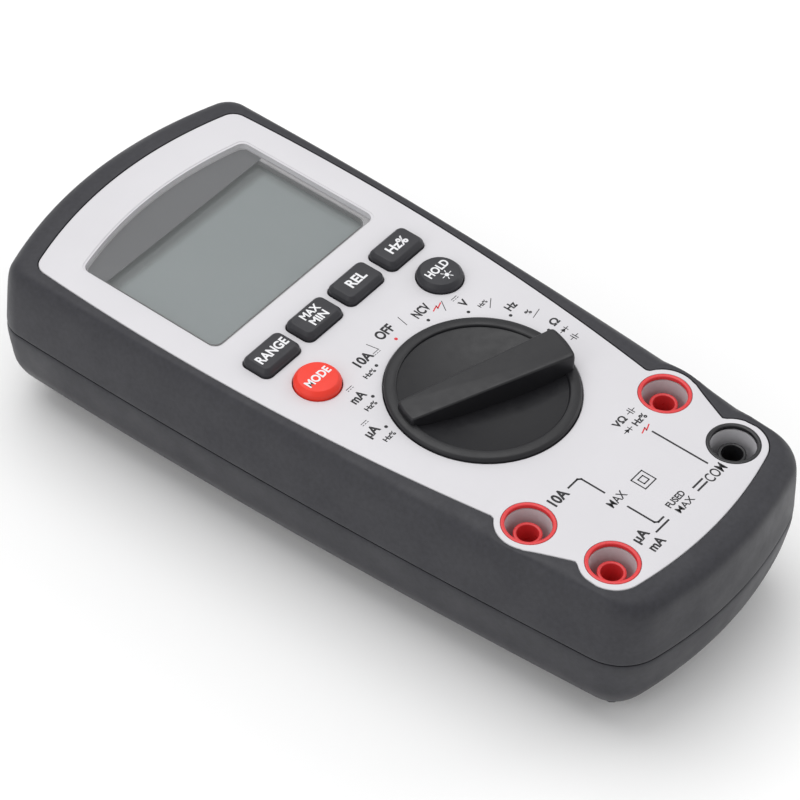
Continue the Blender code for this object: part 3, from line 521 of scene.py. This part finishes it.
def edge_round(shape, radius, steps=4):
    """Rings of a small quarter round from the panel's face into a wall: shape(inset) is the outline moved
    inwards, and the height falls as the inset grows."""
    turn = np.linspace(0, math.pi / 2, steps + 1)
    return [(shape(radius * (math.sin(a) - 1)), -radius * (1 - math.cos(a))) for a in turn]


def inside(points, polygon):
    """Which points lie inside a polygon, by counting how often a line to the right crosses it."""
    x, y = points[:, None, 0], points[:, None, 1]
    a, b = polygon, np.roll(polygon, -1, axis=0)
    crosses = (a[:, 1] > y) != (b[:, 1] > y)
    with np.errstate(divide="ignore", invalid="ignore"):
        meets = a[:, 0] + (y - a[:, 1]) * (b[:, 0] - a[:, 0]) / (b[:, 1] - a[:, 1])
    return (crosses & (x < meets)).sum(1) % 2 == 1


def flat_face(outer, holes, z):
    """Points and triangles of a flat face between an outline and the holes in it."""
    loops = [outer, *holes]
    flat = np.concatenate(loops)
    edges, first = [], 0
    for loop in loops:
        index = np.arange(len(loop))
        edges += np.c_[first + index, first + (index + 1) % len(loop)].tolist()
        first += len(loop)
    points, _, faces, *_ = delaunay_2d_cdt([Vector(p) for p in flat.tolist()], edges, [], 1, 1e-7)
    points = np.array([tuple(p) for p in points])
    faces = np.array(faces)
    middle = points[faces].mean(1)
    keep = inside(middle, outer)
    for hole in holes:
        keep &= ~inside(middle, hole)
    return at_height(points, z), faces[keep].tolist()


class Solid:
    """Points and faces gathered from several patches of one closed surface."""

    def __init__(self):
        self.points, self.faces, self.count = [], [], 0

    def add(self, points, faces):
        """One more patch, its faces renumbered to follow the points already there."""
        self.faces += [[index + self.count for index in face] for face in faces]
        self.points.append(points)
        self.count += len(points)

    def wall(self, rings):
        """A skin through matching rings of (outline, height above the panel)."""
        stack = np.concatenate([at_height(flat, PANEL_Z + z) for flat, z in rings])
        self.add(stack, grid_faces(len(rings), len(rings[0][0])))


def panel_openings():
    """Each opening as its rings, from the panel's face to its underside."""
    under = -PANEL_THICK
    lens_seat = LENS_TOP - LENS_THICK - LENS_BED
    window = edge_round(window_outline, 0.15)
    window.append((window_outline(WINDOW_BEVEL), LENS_TOP + 0.02))
    window.append((window_outline(WINDOW_BEVEL + 0.02), lens_seat))
    window += [(window_outline(WINDOW_BEVEL + LENS_LEDGE), z) for z in (lens_seat, under)]
    dish = edge_round(lambda inset: circle(knob_middle, KNOB_RADIUS + CLEARANCE - inset, 160), 0.2)
    levels = ((KNOB_RADIUS + CLEARANCE, DISH_FLOOR), (SHAFT_BORE, DISH_FLOOR), (SHAFT_BORE, DISH_UNDER))
    levels += ((DISH_BACK, DISH_UNDER), (DISH_BACK, under))
    dish += [(circle(knob_middle, r, 160), z) for r, z in levels]
    found = [window, dish]
    for name in KEY_NAMES:
        hole = edge_round(lambda inset: key_outline(name, KEY_HOLE_CORNER, CLEARANCE, inset), 0.15)
        found.append([*hole, (hole[-1][0], under)])
    # A socket well's radius at each height: the collar's seat, the tapering bore, the floor and the back.
    well = ((6.05, 0), (6.05, -1.1), (5.05, -1.1), (4.9, -10.3))
    well += ((3.2, -10.3), (3.2, -12.9), (5.95, -12.9), (5.95, under))
    for middle in jack_at.values():
        found.append([(circle(middle, r, 72), z) for r, z in well])
    return found


def front_panel():
    """Panel face, its openings, its underside and the wall that runs down behind the rubber."""
    solid = Solid()
    openings = panel_openings()
    wall_foot = PARTING_Z - 3.4 - PANEL_Z
    rim = []
    for a in np.linspace(0, math.pi / 2, 5):
        inset, fall = PANEL_ROUND * (1 - math.sin(a)), PANEL_ROUND * (1 - math.cos(a))
        rim.append((panel_ring(0, -inset)[:, :2], -fall))
    rim.append((panel_ring(0)[:, :2], -PANEL_THICK))
    rim += [(lobed_ring(0)[:, :2], z) for z in (-6.5, wall_foot)]
    rim += [(lobed_ring(0, -WALL_THICK)[:, :2], z) for z in (wall_foot, -6.0)]
    rim.append((panel_ring(0, -1.3)[:, :2], -PANEL_THICK))
    solid.wall(rim)
    for rings in openings:
        solid.wall(rings)
    solid.add(*flat_face(rim[0][0], [rings[0][0] for rings in openings], PANEL_Z))
    solid.add(*flat_face(rim[-1][0], [rings[-1][0] for rings in openings], PANEL_Z - PANEL_THICK))
    return solid


def moulded(name, colour, roughness, grain=3200, depth=0.006, vary=0.05):
    """Moulded plastic or rubber: fine eroded grain, a slow drift of shade and an uneven roughness."""
    made, tree, shader, place = node_material(name, colour, roughness)
    relief(tree, shader, noise(tree, place, scale=grain, detail=2), depth_mm=depth)
    drift = noise(tree, place, scale=60, detail=4)
    spread(tree, drift, tinted(colour, 1 - vary), tinted(colour, 1 + vary), shader.inputs["Base Color"])
    wear = noise(tree, place, scale=450, detail=3)
    spread(tree, wear, roughness - 0.05, roughness + 0.07, shader.inputs["Roughness"])
    return made


panel_plastic = moulded("panel_plastic", PANEL_GREY, 0.42, grain=2600, depth=0.005, vary=0.015)
panel = front_panel()
mesh_piece(
    "front_case_panel",
    np.concatenate(panel.points),
    panel.faces,
    panel_plastic,
    "housing",
    slot="panel_plastic",
    replaces=["front_case"],
    sharp=25,
)

# ---- Display -----------------------------------------------------------------------------------------
# A clear lens bonded on a ledge just under the panel's face, with a dark strip behind its arched edge and
# a grey border round it, its grey a painted shade standing in for the shaded bevel; a foam light shield
# whose near-black is painted shade on the recess wall; and the blank liquid-crystal cell three millimetres
# down, with a painted shadow along its upper and right edges.

LENS_ROUND = 0.25
MASK_LOW, LCD_TOP = 63.2, -2.95


def capped(name, rings, material, body, also=None, **more):
    """A solid through matching rings of points, closed by a flat face at each end; also holds the rings
    of a second solid sunk into the first."""
    solid = Solid()
    for stack in (rings, also) if also else (rings,):
        solid.add(np.concatenate(stack), grid_faces(len(stack), len(stack[0])))
        for ring in (stack[0], stack[-1]):
            solid.add(ring, [list(range(len(ring)))])
    return mesh_piece(name, np.concatenate(solid.points), solid.faces, material, body, **more)


def clear_material():
    """Polished clear plastic: mostly see-through, with a hard reflection."""
    made, tree, shader, place = node_material("window_plastic", (0.82, 0.85, 0.85), 0.04)
    shader.inputs["Alpha"].default_value = 0.06
    spread(tree, noise(tree, place, scale=90, detail=2), 0.03, 0.06, shader.inputs["Roughness"])
    return made


def lcd_material():
    """Blank reflective liquid crystal: grey-green under a satin polariser, with a painted shadow: the colour
    darkens towards its upper and right edges, where the lens frame shades them."""
    made, tree, shader, place = node_material("lcd_glass", (0.2, 0.225, 0.225), 0.3)
    axes = tree.nodes.new("ShaderNodeSeparateXYZ")
    tree.links.new(place, axes.inputs["Vector"])
    shade = tree.nodes.new("ShaderNodeMath")
    shade.operation = "MULTIPLY"
    # Painted shadow along the upper and right edges: axis, where it starts, where it is full, darkest share.
    edges = (("Y", 0.0588, 0.0618, 0.33), ("X", 0.0228, 0.0262, 0.5))
    for socket, (axis, light_at, dark_at, darkest) in zip(shade.inputs, edges):
        spread(tree, axes.outputs[axis], 1, darkest, socket, floor=light_at, ceiling=dark_at, smooth=True)
    tone = tree.nodes.new("ShaderNodeMix")
    tone.data_type = "RGBA"
    tone.inputs["A"].default_value = (0, 0, 0, 1)
    tree.links.new(shade.outputs["Value"], tone.inputs["Factor"])
    drift = noise(tree, place, scale=14, detail=2)
    spread(tree, drift, (0.145, 0.17, 0.175), (0.175, 0.198, 0.2), tone.inputs["B"], floor=0, ceiling=1)
    tree.links.new(tone.outputs["Result"], shader.inputs["Base Color"])
    relief(tree, shader, noise(tree, place, scale=9000, detail=1), depth_mm=0.001)
    return made


def lens_rings():
    """The lens from its underside up, with a rounded upper edge."""
    fit = WINDOW_BEVEL + 0.1
    levels = [(0.0, LENS_TOP - LENS_THICK), (0.0, LENS_TOP - LENS_ROUND)]
    for a in np.linspace(0, math.pi / 2, 6)[1:]:
        levels.append((LENS_ROUND * (1 - math.cos(a)), LENS_TOP - LENS_ROUND * (1 - math.sin(a))))
    return [at_height(window_outline(fit + inset), PANEL_Z + z) for inset, z in levels]


capped(
    "display_lens",
    lens_rings(),
    clear_material(),
    "housing",
    slot="window_plastic",
    replaces=["display_window"],
)

mask_outline = window_outline(WINDOW_BEVEL + 0.4)
mask_outline = mask_outline[mask_outline[:, 1] > MASK_LOW]
mask_ends = np.array([(-1, 1), (1, 1)]) * (mask_outline[:, 0].max(), MASK_LOW)
mask_outline = np.concatenate([mask_ends, mask_outline])
mask_print = moulded("mask_print", (0.055, 0.054, 0.06), 0.5, depth=0.002)
capped(
    "display_mask_strip",
    [at_height(mask_outline, PANEL_Z + z) for z in (-1.78, -1.66)],
    mask_print,
    "housing",
    slot="mask_print",
    replaces=["display_mask"],
)

# Painted shade: a grey ring under the lens edge, its grey standing in for the window bevel in shade.
border_levels = ((0.15, 1.8), (0.15, 1.68), (1.1, 1.68), (1.1, 1.8))
border = [at_height(window_outline(WINDOW_BEVEL + inset), PANEL_Z - z) for inset, z in border_levels]
border_painted_shade = moulded("border_painted_shade", (0.33, 0.32, 0.33), 0.4, depth=0.002)
skin_piece("display_border", np.array(border), border_painted_shade, "housing", slot="mask_print")
# Painted shade: the light shield's near-black stands in for the shade on the window's recess wall.
shield_levels = ((1.28, 2.85), (1.28, 1.72), (1.5, 1.72), (1.5, 2.85))
shield = [at_height(window_outline(WINDOW_BEVEL + inset), PANEL_Z - z) for inset, z in shield_levels]
shield_painted_shade = moulded("shield_painted_shade", (0.09, 0.088, 0.09), 0.8, grain=1500, depth=0.02)
skin_piece("display_light_shield", np.array(shield), shield_painted_shade, "housing", slot="seal_rubber")
lcd_low, lcd_high = (np.array(corner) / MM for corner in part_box("lcd_glass"))
lcd_middle, lcd_half = (lcd_low + lcd_high)[:2] / 2, (lcd_high - lcd_low)[:2] / 2
lcd_levels = ((0, lcd_low[2] - PANEL_Z), (0, LCD_TOP - 0.2), (-0.2, LCD_TOP))
capped(
    "display_cell",
    [at_height(rounded_box(lcd_middle, lcd_half + grow, 0.5), PANEL_Z + z) for grow, z in lcd_levels],
    lcd_material(),
    "housing",
    slot="lcd_glass",
    replaces=["lcd_glass"],
)

# ---- Keys ----------------------------------------------------------------------------------------------
# Dark oblong keys and one dark and one red round key, each a hard cap with sloping shoulders that rises
# through the panel and keeps a flange below it.

KEY_PROUD, KEY_CROWN, KEY_ROUND, KEY_FLANGE = 2.0, 1.0, 0.35, 0.8
key_plastic = moulded("key_plastic", (0.026, 0.026, 0.031), 0.45, grain=3000, depth=0.004)
mode_plastic = moulded("mode_key_plastic", (0.84, 0.04, 0.02), 0.42, grain=3000, depth=0.003, vary=0.03)


def key_rings(name):
    """A key from its crown, over a round edge and down its shoulders, to its flange."""
    levels = [(-KEY_CROWN, KEY_PROUD)]
    for a in np.linspace(0, 0.9, 5)[1:]:
        levels.append((-KEY_CROWN + KEY_ROUND * math.sin(a), KEY_PROUD - KEY_ROUND * (1 - math.cos(a))))
    levels += [(-0.12, 1.15), (-0.03, 0.98), (0.0, 0.8), (0.0, -2.9)]
    levels += [(KEY_FLANGE, -2.9), (KEY_FLANGE, -3.9)]
    return [at_height(key_outline(name, 1.8 + 0.8 * grow, grow), PANEL_Z + z) for grow, z in levels]


for name in KEY_NAMES:
    red = name == "mode"
    capped(
        f"key_{name}_cap",
        key_rings(name),
        mode_plastic if red else key_plastic,
        f"{name}_key",
        slot="mode_key_plastic" if red else "key_plastic",
        replaces=[f"key_{name}"],
    )

# ---- Knob ----------------------------------------------------------------------------------------------
# One black moulding: a flat rim, a concave dish inside it, a wedge-shaped bar across the dish whose
# narrow end is the pointer, and the shaft below.

RIM_INNER, RIM_TOP, DISH_MIDDLE, DISH_RISE = 19.0, 1.15, -1.2, 1.7
SKIRT_FOOT, SHAFT_RADIUS, SHAFT_FOOT = -2.3, 5.0, -12.7
GRIP_TOP, GRIP_SLOPE, GRIP_HALF, GRIP_TAPER = 4.25, 0.072, 4.1, 0.04
GRIP_NOSE, GRIP_TAIL, GRIP_CORNER, GRIP_EDGE, GRIP_DRAFT = 19.6, 20.8, 0.9, 0.45, 0.12
GRIP_FOOT = -1.9
FIRST_STOP, STOP_STEP = 157.5, 22.5


def turned_rings(profile, middle, count):
    """Rings round an upright axis, one for each (radius, height above the panel)."""
    return [at_height(circle(middle, radius, count), PANEL_Z + z) for radius, z in profile]


def knob_profile():
    """Rim, concave dish and skirt of the knob, from the dish's middle outwards and down."""
    share = np.linspace(0.02, 1, 22)
    dish = [(RIM_INNER * 0.985 * s, DISH_MIDDLE + DISH_RISE * s**3) for s in share]
    lip = [(RIM_INNER - 0.22, 0.8), (RIM_INNER - 0.12, 1.02), (RIM_INNER, 1.1)]
    lip.append((RIM_INNER + 0.15, RIM_TOP))
    rim = [(RIM_INNER + 0.9, RIM_TOP), (KNOB_RADIUS - 0.8, RIM_TOP - 0.04)]
    rim.append((KNOB_RADIUS - 0.3, RIM_TOP - 0.16))
    skirt = [(KNOB_RADIUS - 0.08, RIM_TOP - 0.4), (KNOB_RADIUS, RIM_TOP - 0.75), (KNOB_RADIUS, SKIRT_FOOT)]
    return dish + lip + rim + skirt + [(SHAFT_RADIUS, SKIRT_FOOT), (SHAFT_RADIUS, SHAFT_FOOT)]


def grip_outline(shrink):
    """The bar from above, nose along +X: straight sides that spread to a round tail, corners rounded."""
    nose, tail = GRIP_NOSE - shrink, GRIP_TAIL - shrink

    def half(x):
        return GRIP_HALF - GRIP_TAPER * x - shrink

    widest = math.asin(half(-tail) / tail)
    angle = np.linspace(widest, -widest, 15)
    tail_arc = np.c_[-tail * np.cos(angle), tail * np.sin(angle)]
    sharp = np.concatenate([[(nose, -half(nose)), (nose + 0.25, 0), (nose, half(nose))], tail_arc])
    rounded = []
    for index, point in enumerate(sharp):
        before, after = sharp[index - 1], sharp[(index + 1) % len(sharp)]
        if index in (0, 2, 3, len(sharp) - 1):
            near = point + (before - point) * GRIP_CORNER / np.linalg.norm(before - point)
            far = point + (after - point) * GRIP_CORNER / np.linalg.norm(after - point)
            t = np.linspace(0, 1, 7)[:, None]
            rounded.append((1 - t) ** 2 * near + 2 * t * (1 - t) * point + t**2 * far)
        else:
            rounded.append(point[None])
    return np.concatenate(rounded)


def grip_rings():
    """The bar from its buried foot, marked by no drop from the top, up its drafted sides and over a small
    round edge to its sloping top."""
    levels = [(0.0, None), (0.0, 1.2), (GRIP_DRAFT, 0.5)]
    for a in np.linspace(0.1, math.pi / 2, 6):
        levels.append((GRIP_DRAFT + GRIP_EDGE * (1 - math.cos(a)), GRIP_EDGE * (1 - math.sin(a))))
    c, s = math.cos(math.radians(FIRST_STOP)), math.sin(math.radians(FIRST_STOP))
    turn = np.array([[c, s], [-s, c]])
    rings = []
    for shrink, drop in levels:
        flat = grip_outline(shrink)
        top = GRIP_TOP - GRIP_SLOPE * flat[:, 0]
        height = np.full(len(flat), GRIP_FOOT) if drop is None else top - drop
        rings.append(np.c_[flat @ turn + knob_middle, PANEL_Z + height])
    return rings


knob_plastic = moulded("knob_plastic", (0.011, 0.011, 0.013), 0.38, grain=2400, depth=0.005)
capped(
    "selector_knob_moulding",
    turned_rings(knob_profile(), knob_middle, 160),
    knob_plastic,
    "selector",
    also=grip_rings(),
    slot="knob_plastic",
    replaces=["selector_knob"],
)

# ---- Sockets -------------------------------------------------------------------------------------------
# A coloured ring pressed flush into the panel round each well, and a coloured insulating tube that stands
# on the well's floor round the brass contact.

socket_red = moulded("socket_red", (0.70, 0.045, 0.05), 0.3, grain=1800, depth=0.003, vary=0.06)
socket_black = moulded("socket_black", (0.018, 0.018, 0.02), 0.3, grain=1800, depth=0.003, vary=0.06)
SOCKET_FOOT = -10.0


def ring_piece(name, section, middle, material, **more):
    """A turned ring: a closed section of (radius, height above the panel) carried round an axis."""
    skin_piece(name, np.array(turned_rings(section, middle, 96)), material, "housing", **more)


# Sections as (radius, height above the panel), each closed by its first point.
collar = [(5.95, -0.8), (5.95, -0.05), (5.85, 0.08), (5.7, 0.12)]
collar += [(5.35, 0.1), (5.15, -0.02), (5.06, -0.3), (5.06, -0.8)]
tube = [(3.15, -3.3), (3.1, -3.1), (2.95, -3.0), (2.6, -3.0), (2.42, -3.12), (2.35, -3.4)]
tube += [(2.35, SOCKET_FOOT), (4.85, SOCKET_FOOT), (4.85, SOCKET_FOOT + 1.0), (3.35, SOCKET_FOOT + 1.2)]
tube.append((3.15, SOCKET_FOOT + 1.5))
for name, middle in jack_at.items():
    finish = socket_black if name == "com" else socket_red
    slot = "socket_black" if name == "com" else "socket_red"
    ring_piece(f"socket_collar_{name}", collar, middle, finish, slot=slot, replaces=[f"jack_ring_{name}"])
    ring_piece(f"socket_tube_{name}", tube, middle, finish, slot=slot, replaces=[f"jack_tube_{name}"])

# ---- Printing ------------------------------------------------------------------------------------------
# Black, red and white ink, pad-printed on the panel and the key caps: generic words, units and symbols.
# BOLD, MEDIUM and LIGHT are how far a letter's outline is grown; LEAD is the thickness of the lead lines.

INK_DEPTH = 0.03
BOLD, MEDIUM, LIGHT = 0.036, 0.03, 0.012
LEAD = 0.46


def word(text, x, y, width, height, weight=BOLD):
    """A printed word's points and faces, fitted to a width and height about a point and one unit deep."""
    curve = bpy.data.curves.new("word", "FONT")
    curve.body = text
    curve.offset = weight
    curve.extrude = 0.5
    holder = bpy.data.objects.new("word", curve)
    bpy.context.scene.collection.objects.link(holder)
    bpy.context.view_layer.update()
    evaluated = holder.evaluated_get(bpy.context.evaluated_depsgraph_get())
    mesh = bpy.data.meshes.new_from_object(evaluated)
    points = np.empty(len(mesh.vertices) * 3)
    mesh.vertices.foreach_get("co", points)
    points = points.reshape(-1, 3)
    faces = [tuple(face.vertices) for face in mesh.polygons]
    bpy.data.objects.remove(holder)
    bpy.data.curves.remove(curve)
    bpy.data.meshes.remove(mesh)
    low, high = points.min(0), points.max(0)
    return (points - (low + high) / 2) / (high - low) * (width, height, 1) + (x, y, 0), faces


def flat_mark(flat):
    """A filled outline, one unit deep."""
    count = len(flat)
    points = np.concatenate([at_height(flat, -0.5), at_height(flat, 0.5)])
    faces = [list(range(count))[::-1], list(range(count, 2 * count))]
    return points, faces + grid_faces(2, count)


def stroke(start, end, thickness):
    """A straight printed line."""
    start, end = np.array(start, float), np.array(end, float)
    along = (end - start) / np.linalg.norm(end - start) * thickness / 2
    across = along[::-1] * (-1, 1)
    near, far = start - along, end + along
    return flat_mark(np.array([near - across, far - across, far + across, near + across]))


def path(*points, thickness=LEAD):
    """Printed lines through a row of points."""
    return [stroke(start, end, thickness) for start, end in zip(points, points[1:])]


def round_knob(degrees, radius):
    """A point beside the knob, at an angle and a distance from its middle."""
    angle = math.radians(degrees)
    return knob_middle[0] + radius * math.cos(angle), knob_middle[1] + radius * math.sin(angle)


def printed(name, marks, height, colour, body, slot):
    """All the marks of one colour on one face, as a thin layer of ink at a height."""
    ink = moulded(name + "_ink", colour, 0.5, depth=0.001, vary=0.03)
    solid = Solid()
    for points, faces in marks:
        solid.add(points * (1, 1, INK_DEPTH) + (0, 0, height), faces)
    mesh_piece(name, np.concatenate(solid.points), solid.faces, ink, body, slot=slot, sharp=60)


def supply_sign(x, y):
    """The direct-current sign: a line over a broken line."""
    marks = [stroke((x - 0.9, y + 0.28), (x + 0.9, y + 0.28), 0.16)]
    for dash in (-0.75, 0, 0.75):
        marks.append(stroke((x + dash - 0.14, y - 0.28), (x + dash + 0.14, y - 0.28), 0.16))
    return marks


def diode_sign(x, y):
    """A triangle against a bar on a line."""
    triangle = flat_mark(np.array([(x - 0.6, y - 0.6), (x + 0.5, y), (x - 0.6, y + 0.6)]))
    line = stroke((x - 1.3, y), (x + 1.3, y), 0.2)
    return [triangle, line, stroke((x + 0.6, y - 0.6), (x + 0.6, y + 0.6), 0.2)]


def capacitor_sign(x, y):
    """Two plates on a line."""
    plates = [stroke((x + c, y - 0.8), (x + c, y + 0.8), 0.24) for c in (-0.3, 0.3)]
    return plates + [stroke((x - 1.2, y), (x - 0.3, y), 0.2), stroke((x + 0.3, y), (x + 1.2, y), 0.2)]


def flash_sign(x, y):
    """A zigzag flash."""
    corners = (x - 1.5, y - 0.2), (x + 0.1, y + 0.3), (x - 0.2, y - 0.4), (x + 1.5, y + 0.2)
    return path(*corners, thickness=0.3)


black_marks, red_marks = [], []
# Round the knob: each word's width, height, degrees past its stop and distance from the knob's middle.
dial_words = (
    ("\u00b5A", 3.7, 3.0, 0, 27.3),
    ("mA", 4.0, 2.4, 0, 27.3),
    ("10A", 5.0, 2.6, -2.0, 27.3),
    ("OFF", 5.0, 2.7, 0, 27.3),
    ("NCV", 4.8, 2.5, 0, 27.3),
    ("V", 2.0, 2.1, 1.5, 26.9),
    ("Hz", 2.8, 2.1, 1.5, 26.9),
    ("\u03a9", 2.3, 2.1, 1.5, 26.9),
)
for step, (text, width, height, past, reach) in enumerate(dial_words):
    angle = FIRST_STOP - STOP_STEP * step
    x, y = round_knob(angle + past, reach)
    black_marks.append(word(text, x, y, width, height))
    spot = flat_mark(circle(round_knob(angle, 24.0), 0.42, 20))
    (red_marks if text == "OFF" else black_marks).append(spot)
    if step < 3:
        black_marks.append(word("Hz%", *round_knob(angle + 6.5, 24.9), 3.4, 1.3))
        black_marks += supply_sign(x + 3.6, y - 0.9) if step == 2 else supply_sign(x + 0.9, y + 2.9)
    else:
        tick = (round_knob(angle + STOP_STEP / 2, radius) for radius in (25.4, 28.4))
        black_marks += path(*tick, thickness=0.18)
black_marks += supply_sign(*round_knob(50, 28.6))
black_marks.append(word("Hz%", *round_knob(37.5, 26.6), 2.6, 1.1))
black_marks.append(word("%", *round_knob(15, 26.4), 1.5, 1.4))
black_marks += diode_sign(*round_knob(-5.5, 26.4)) + capacitor_sign(*round_knob(-12, 26.6))
red_marks += flash_sign(*round_knob(59.5, 27.0))

# Between the sockets: the words, the lines that lead to the sockets, and the double-insulation square.
jack_10a, jack_ma, jack_com = jack_at["10a"], jack_at["ma"], jack_at["com"]
lead_x, lead_y = -7.4, jack_com[1] - 0.7
socket_words = (
    ("10A", jack_10a[0] + 9.9, jack_10a[1] - 0.4, 5.0, 2.8, BOLD),
    ("MAX", lead_x + 0.2, -63.1, 5.2, 2.1, LIGHT),
    ("\u00b5A", -12.4, jack_ma[1] - 0.3, 4.0, 3.1, BOLD),
    ("mA", -12.0, jack_ma[1] - 3.9, 4.2, 2.4, BOLD),
    ("FUSED", 0.8, lead_y + 1.0, 5.6, 1.7, MEDIUM),
    ("MAX", 0.9, lead_y - 1.4, 5.4, 1.7, LIGHT),
    ("COM", 12.6, lead_y - 1.1, 5.8, 2.6, LIGHT),
    ("V\u03a9", 11.4, -50.4, 3.8, 2.0, BOLD),
    ("Hz%", 14.8, -53.3, 4.0, 1.7, BOLD),
)
black_marks += [word(*entry) for entry in socket_words]
black_marks += path((-11.2, -53.4), (lead_x - 0.6, -53.4), (lead_x, -54.0), (lead_x, -60.0))
black_marks += path((lead_x, -66.2), (lead_x, -73.0), (lead_x + 0.6, lead_y), (-5.0, lead_y))
black_marks += path((-9.3, lead_y - 1.3), (-5.0, lead_y - 1.3))
black_marks += path((6.0, lead_y), (9.2, lead_y)) + path((6.0, lead_y - 1.3), (9.2, lead_y - 1.3))
black_marks += path((13.7, -57.6), (13.7, -71.8))
black_marks += capacitor_sign(15.6, -50.4) + diode_sign(10.6, -53.3)
red_marks += flash_sign(13.4, -55.9)
for half in (1.9, 0.85):
    turns = ((-1, -1), (1, -1), (1, 1), (-1, 1), (-1, -1))
    black_marks += path(*((1.0 + half * sx, -64.2 + half * sy) for sx, sy in turns), thickness=0.3)
printed("panel_legends_black", black_marks, PANEL_Z, (0.012, 0.012, 0.014), "housing", "black_plastic")
printed("panel_legends_red", red_marks, PANEL_Z, (0.65, 0.02, 0.03), "housing", "socket_red")

# On the keys: each word with its rise above the key's middle, its width and its height.
KEY_WHITE = (0.8, 0.8, 0.82)
key_words = {
    "range": [("RANGE", 0, 9.3, 2.5)],
    "max_min": [("MAX", 1.3, 5.5, 2.1), ("MIN", -1.3, 5.0, 2.1)],
    "rel": [("REL", 0, 5.4, 2.6)],
    "hz": [("Hz%", 0, 6.0, 2.6)],
    "mode": [("MODE", 0, 7.2, 2.2)],
    "hold": [("HOLD", 0.9, 6.8, 2.2)],
}
for name, words in key_words.items():
    x, y = middle_of(f"key_{name}")
    marks = [word(text, x, y + rise, width, height, MEDIUM) for text, rise, width, height in words]
    if name == "hold":
        lamp = x, y - 1.9
        marks.append(flat_mark(circle(lamp, 0.55, 20)))
        for turn in np.arange(6) * math.pi / 3:
            ray = np.array((math.cos(turn), math.sin(turn)))
            marks.append(stroke(lamp + ray * 0.85, lamp + ray * 1.35, 0.22))
    crown = PANEL_Z + KEY_PROUD
    printed(f"{name}_key_legend", marks, crown, KEY_WHITE, f"{name}_key", "white_plastic")

# ---- Pieces kept from the CAD --------------------------------------------------------------------------
# The rear case, stand, screws, board, battery and fuses show as the CAD made them, each in the finish of
# its material slot.


def metal(name, colour, roughness):
    """Bare metal with fine tool marks and a wandering shine."""
    made, tree, shader, place = node_material(name, colour, roughness, 1.0)
    relief(tree, shader, noise(tree, place, scale=5000, detail=3), depth_mm=0.003)
    wear = noise(tree, place, scale=300, detail=4)
    spread(tree, wear, roughness - 0.08, roughness + 0.12, shader.inputs["Roughness"])
    return made


finishes = {
    "case_plastic": moulded("case_plastic", (0.045, 0.045, 0.05), 0.55, grain=1700, depth=0.012),
    "seal_rubber": moulded("seal_rubber", (0.02, 0.02, 0.02), 0.75),
    "white_plastic": moulded("white_plastic", (0.78, 0.78, 0.76), 0.45),
    "steel": metal("steel", (0.6, 0.6, 0.62), 0.3),
    "brass": metal("brass", (0.72, 0.52, 0.22), 0.28),
    "board": moulded("board", (0.03, 0.2, 0.07), 0.4, grain=900, depth=0.01, vary=0.15),
    "black_plastic": moulded("black_plastic", (0.02, 0.02, 0.02), 0.4),
    "blue_coating": moulded("blue_coating", (0.05, 0.15, 0.45), 0.3, grain=700, depth=0.02),
    "shunt_alloy": metal("shunt_alloy", (0.66, 0.4, 0.25), 0.32),
    "battery_case": moulded("battery_case", (0.05, 0.05, 0.06), 0.3, grain=600),
    "fuse_body": moulded("fuse_body", (0.8, 0.77, 0.7), 0.25, grain=500, depth=0.004),
}
slot_of = {part["node"]: part["material_slot"] for part in frame["record"]["subparts"]}
for name, part in frame["nodes"].items():
    finish = finishes.get(slot_of[name])
    if finish and not part.hide_render:
        part.data.materials.clear()
        part.data.materials.append(finish)
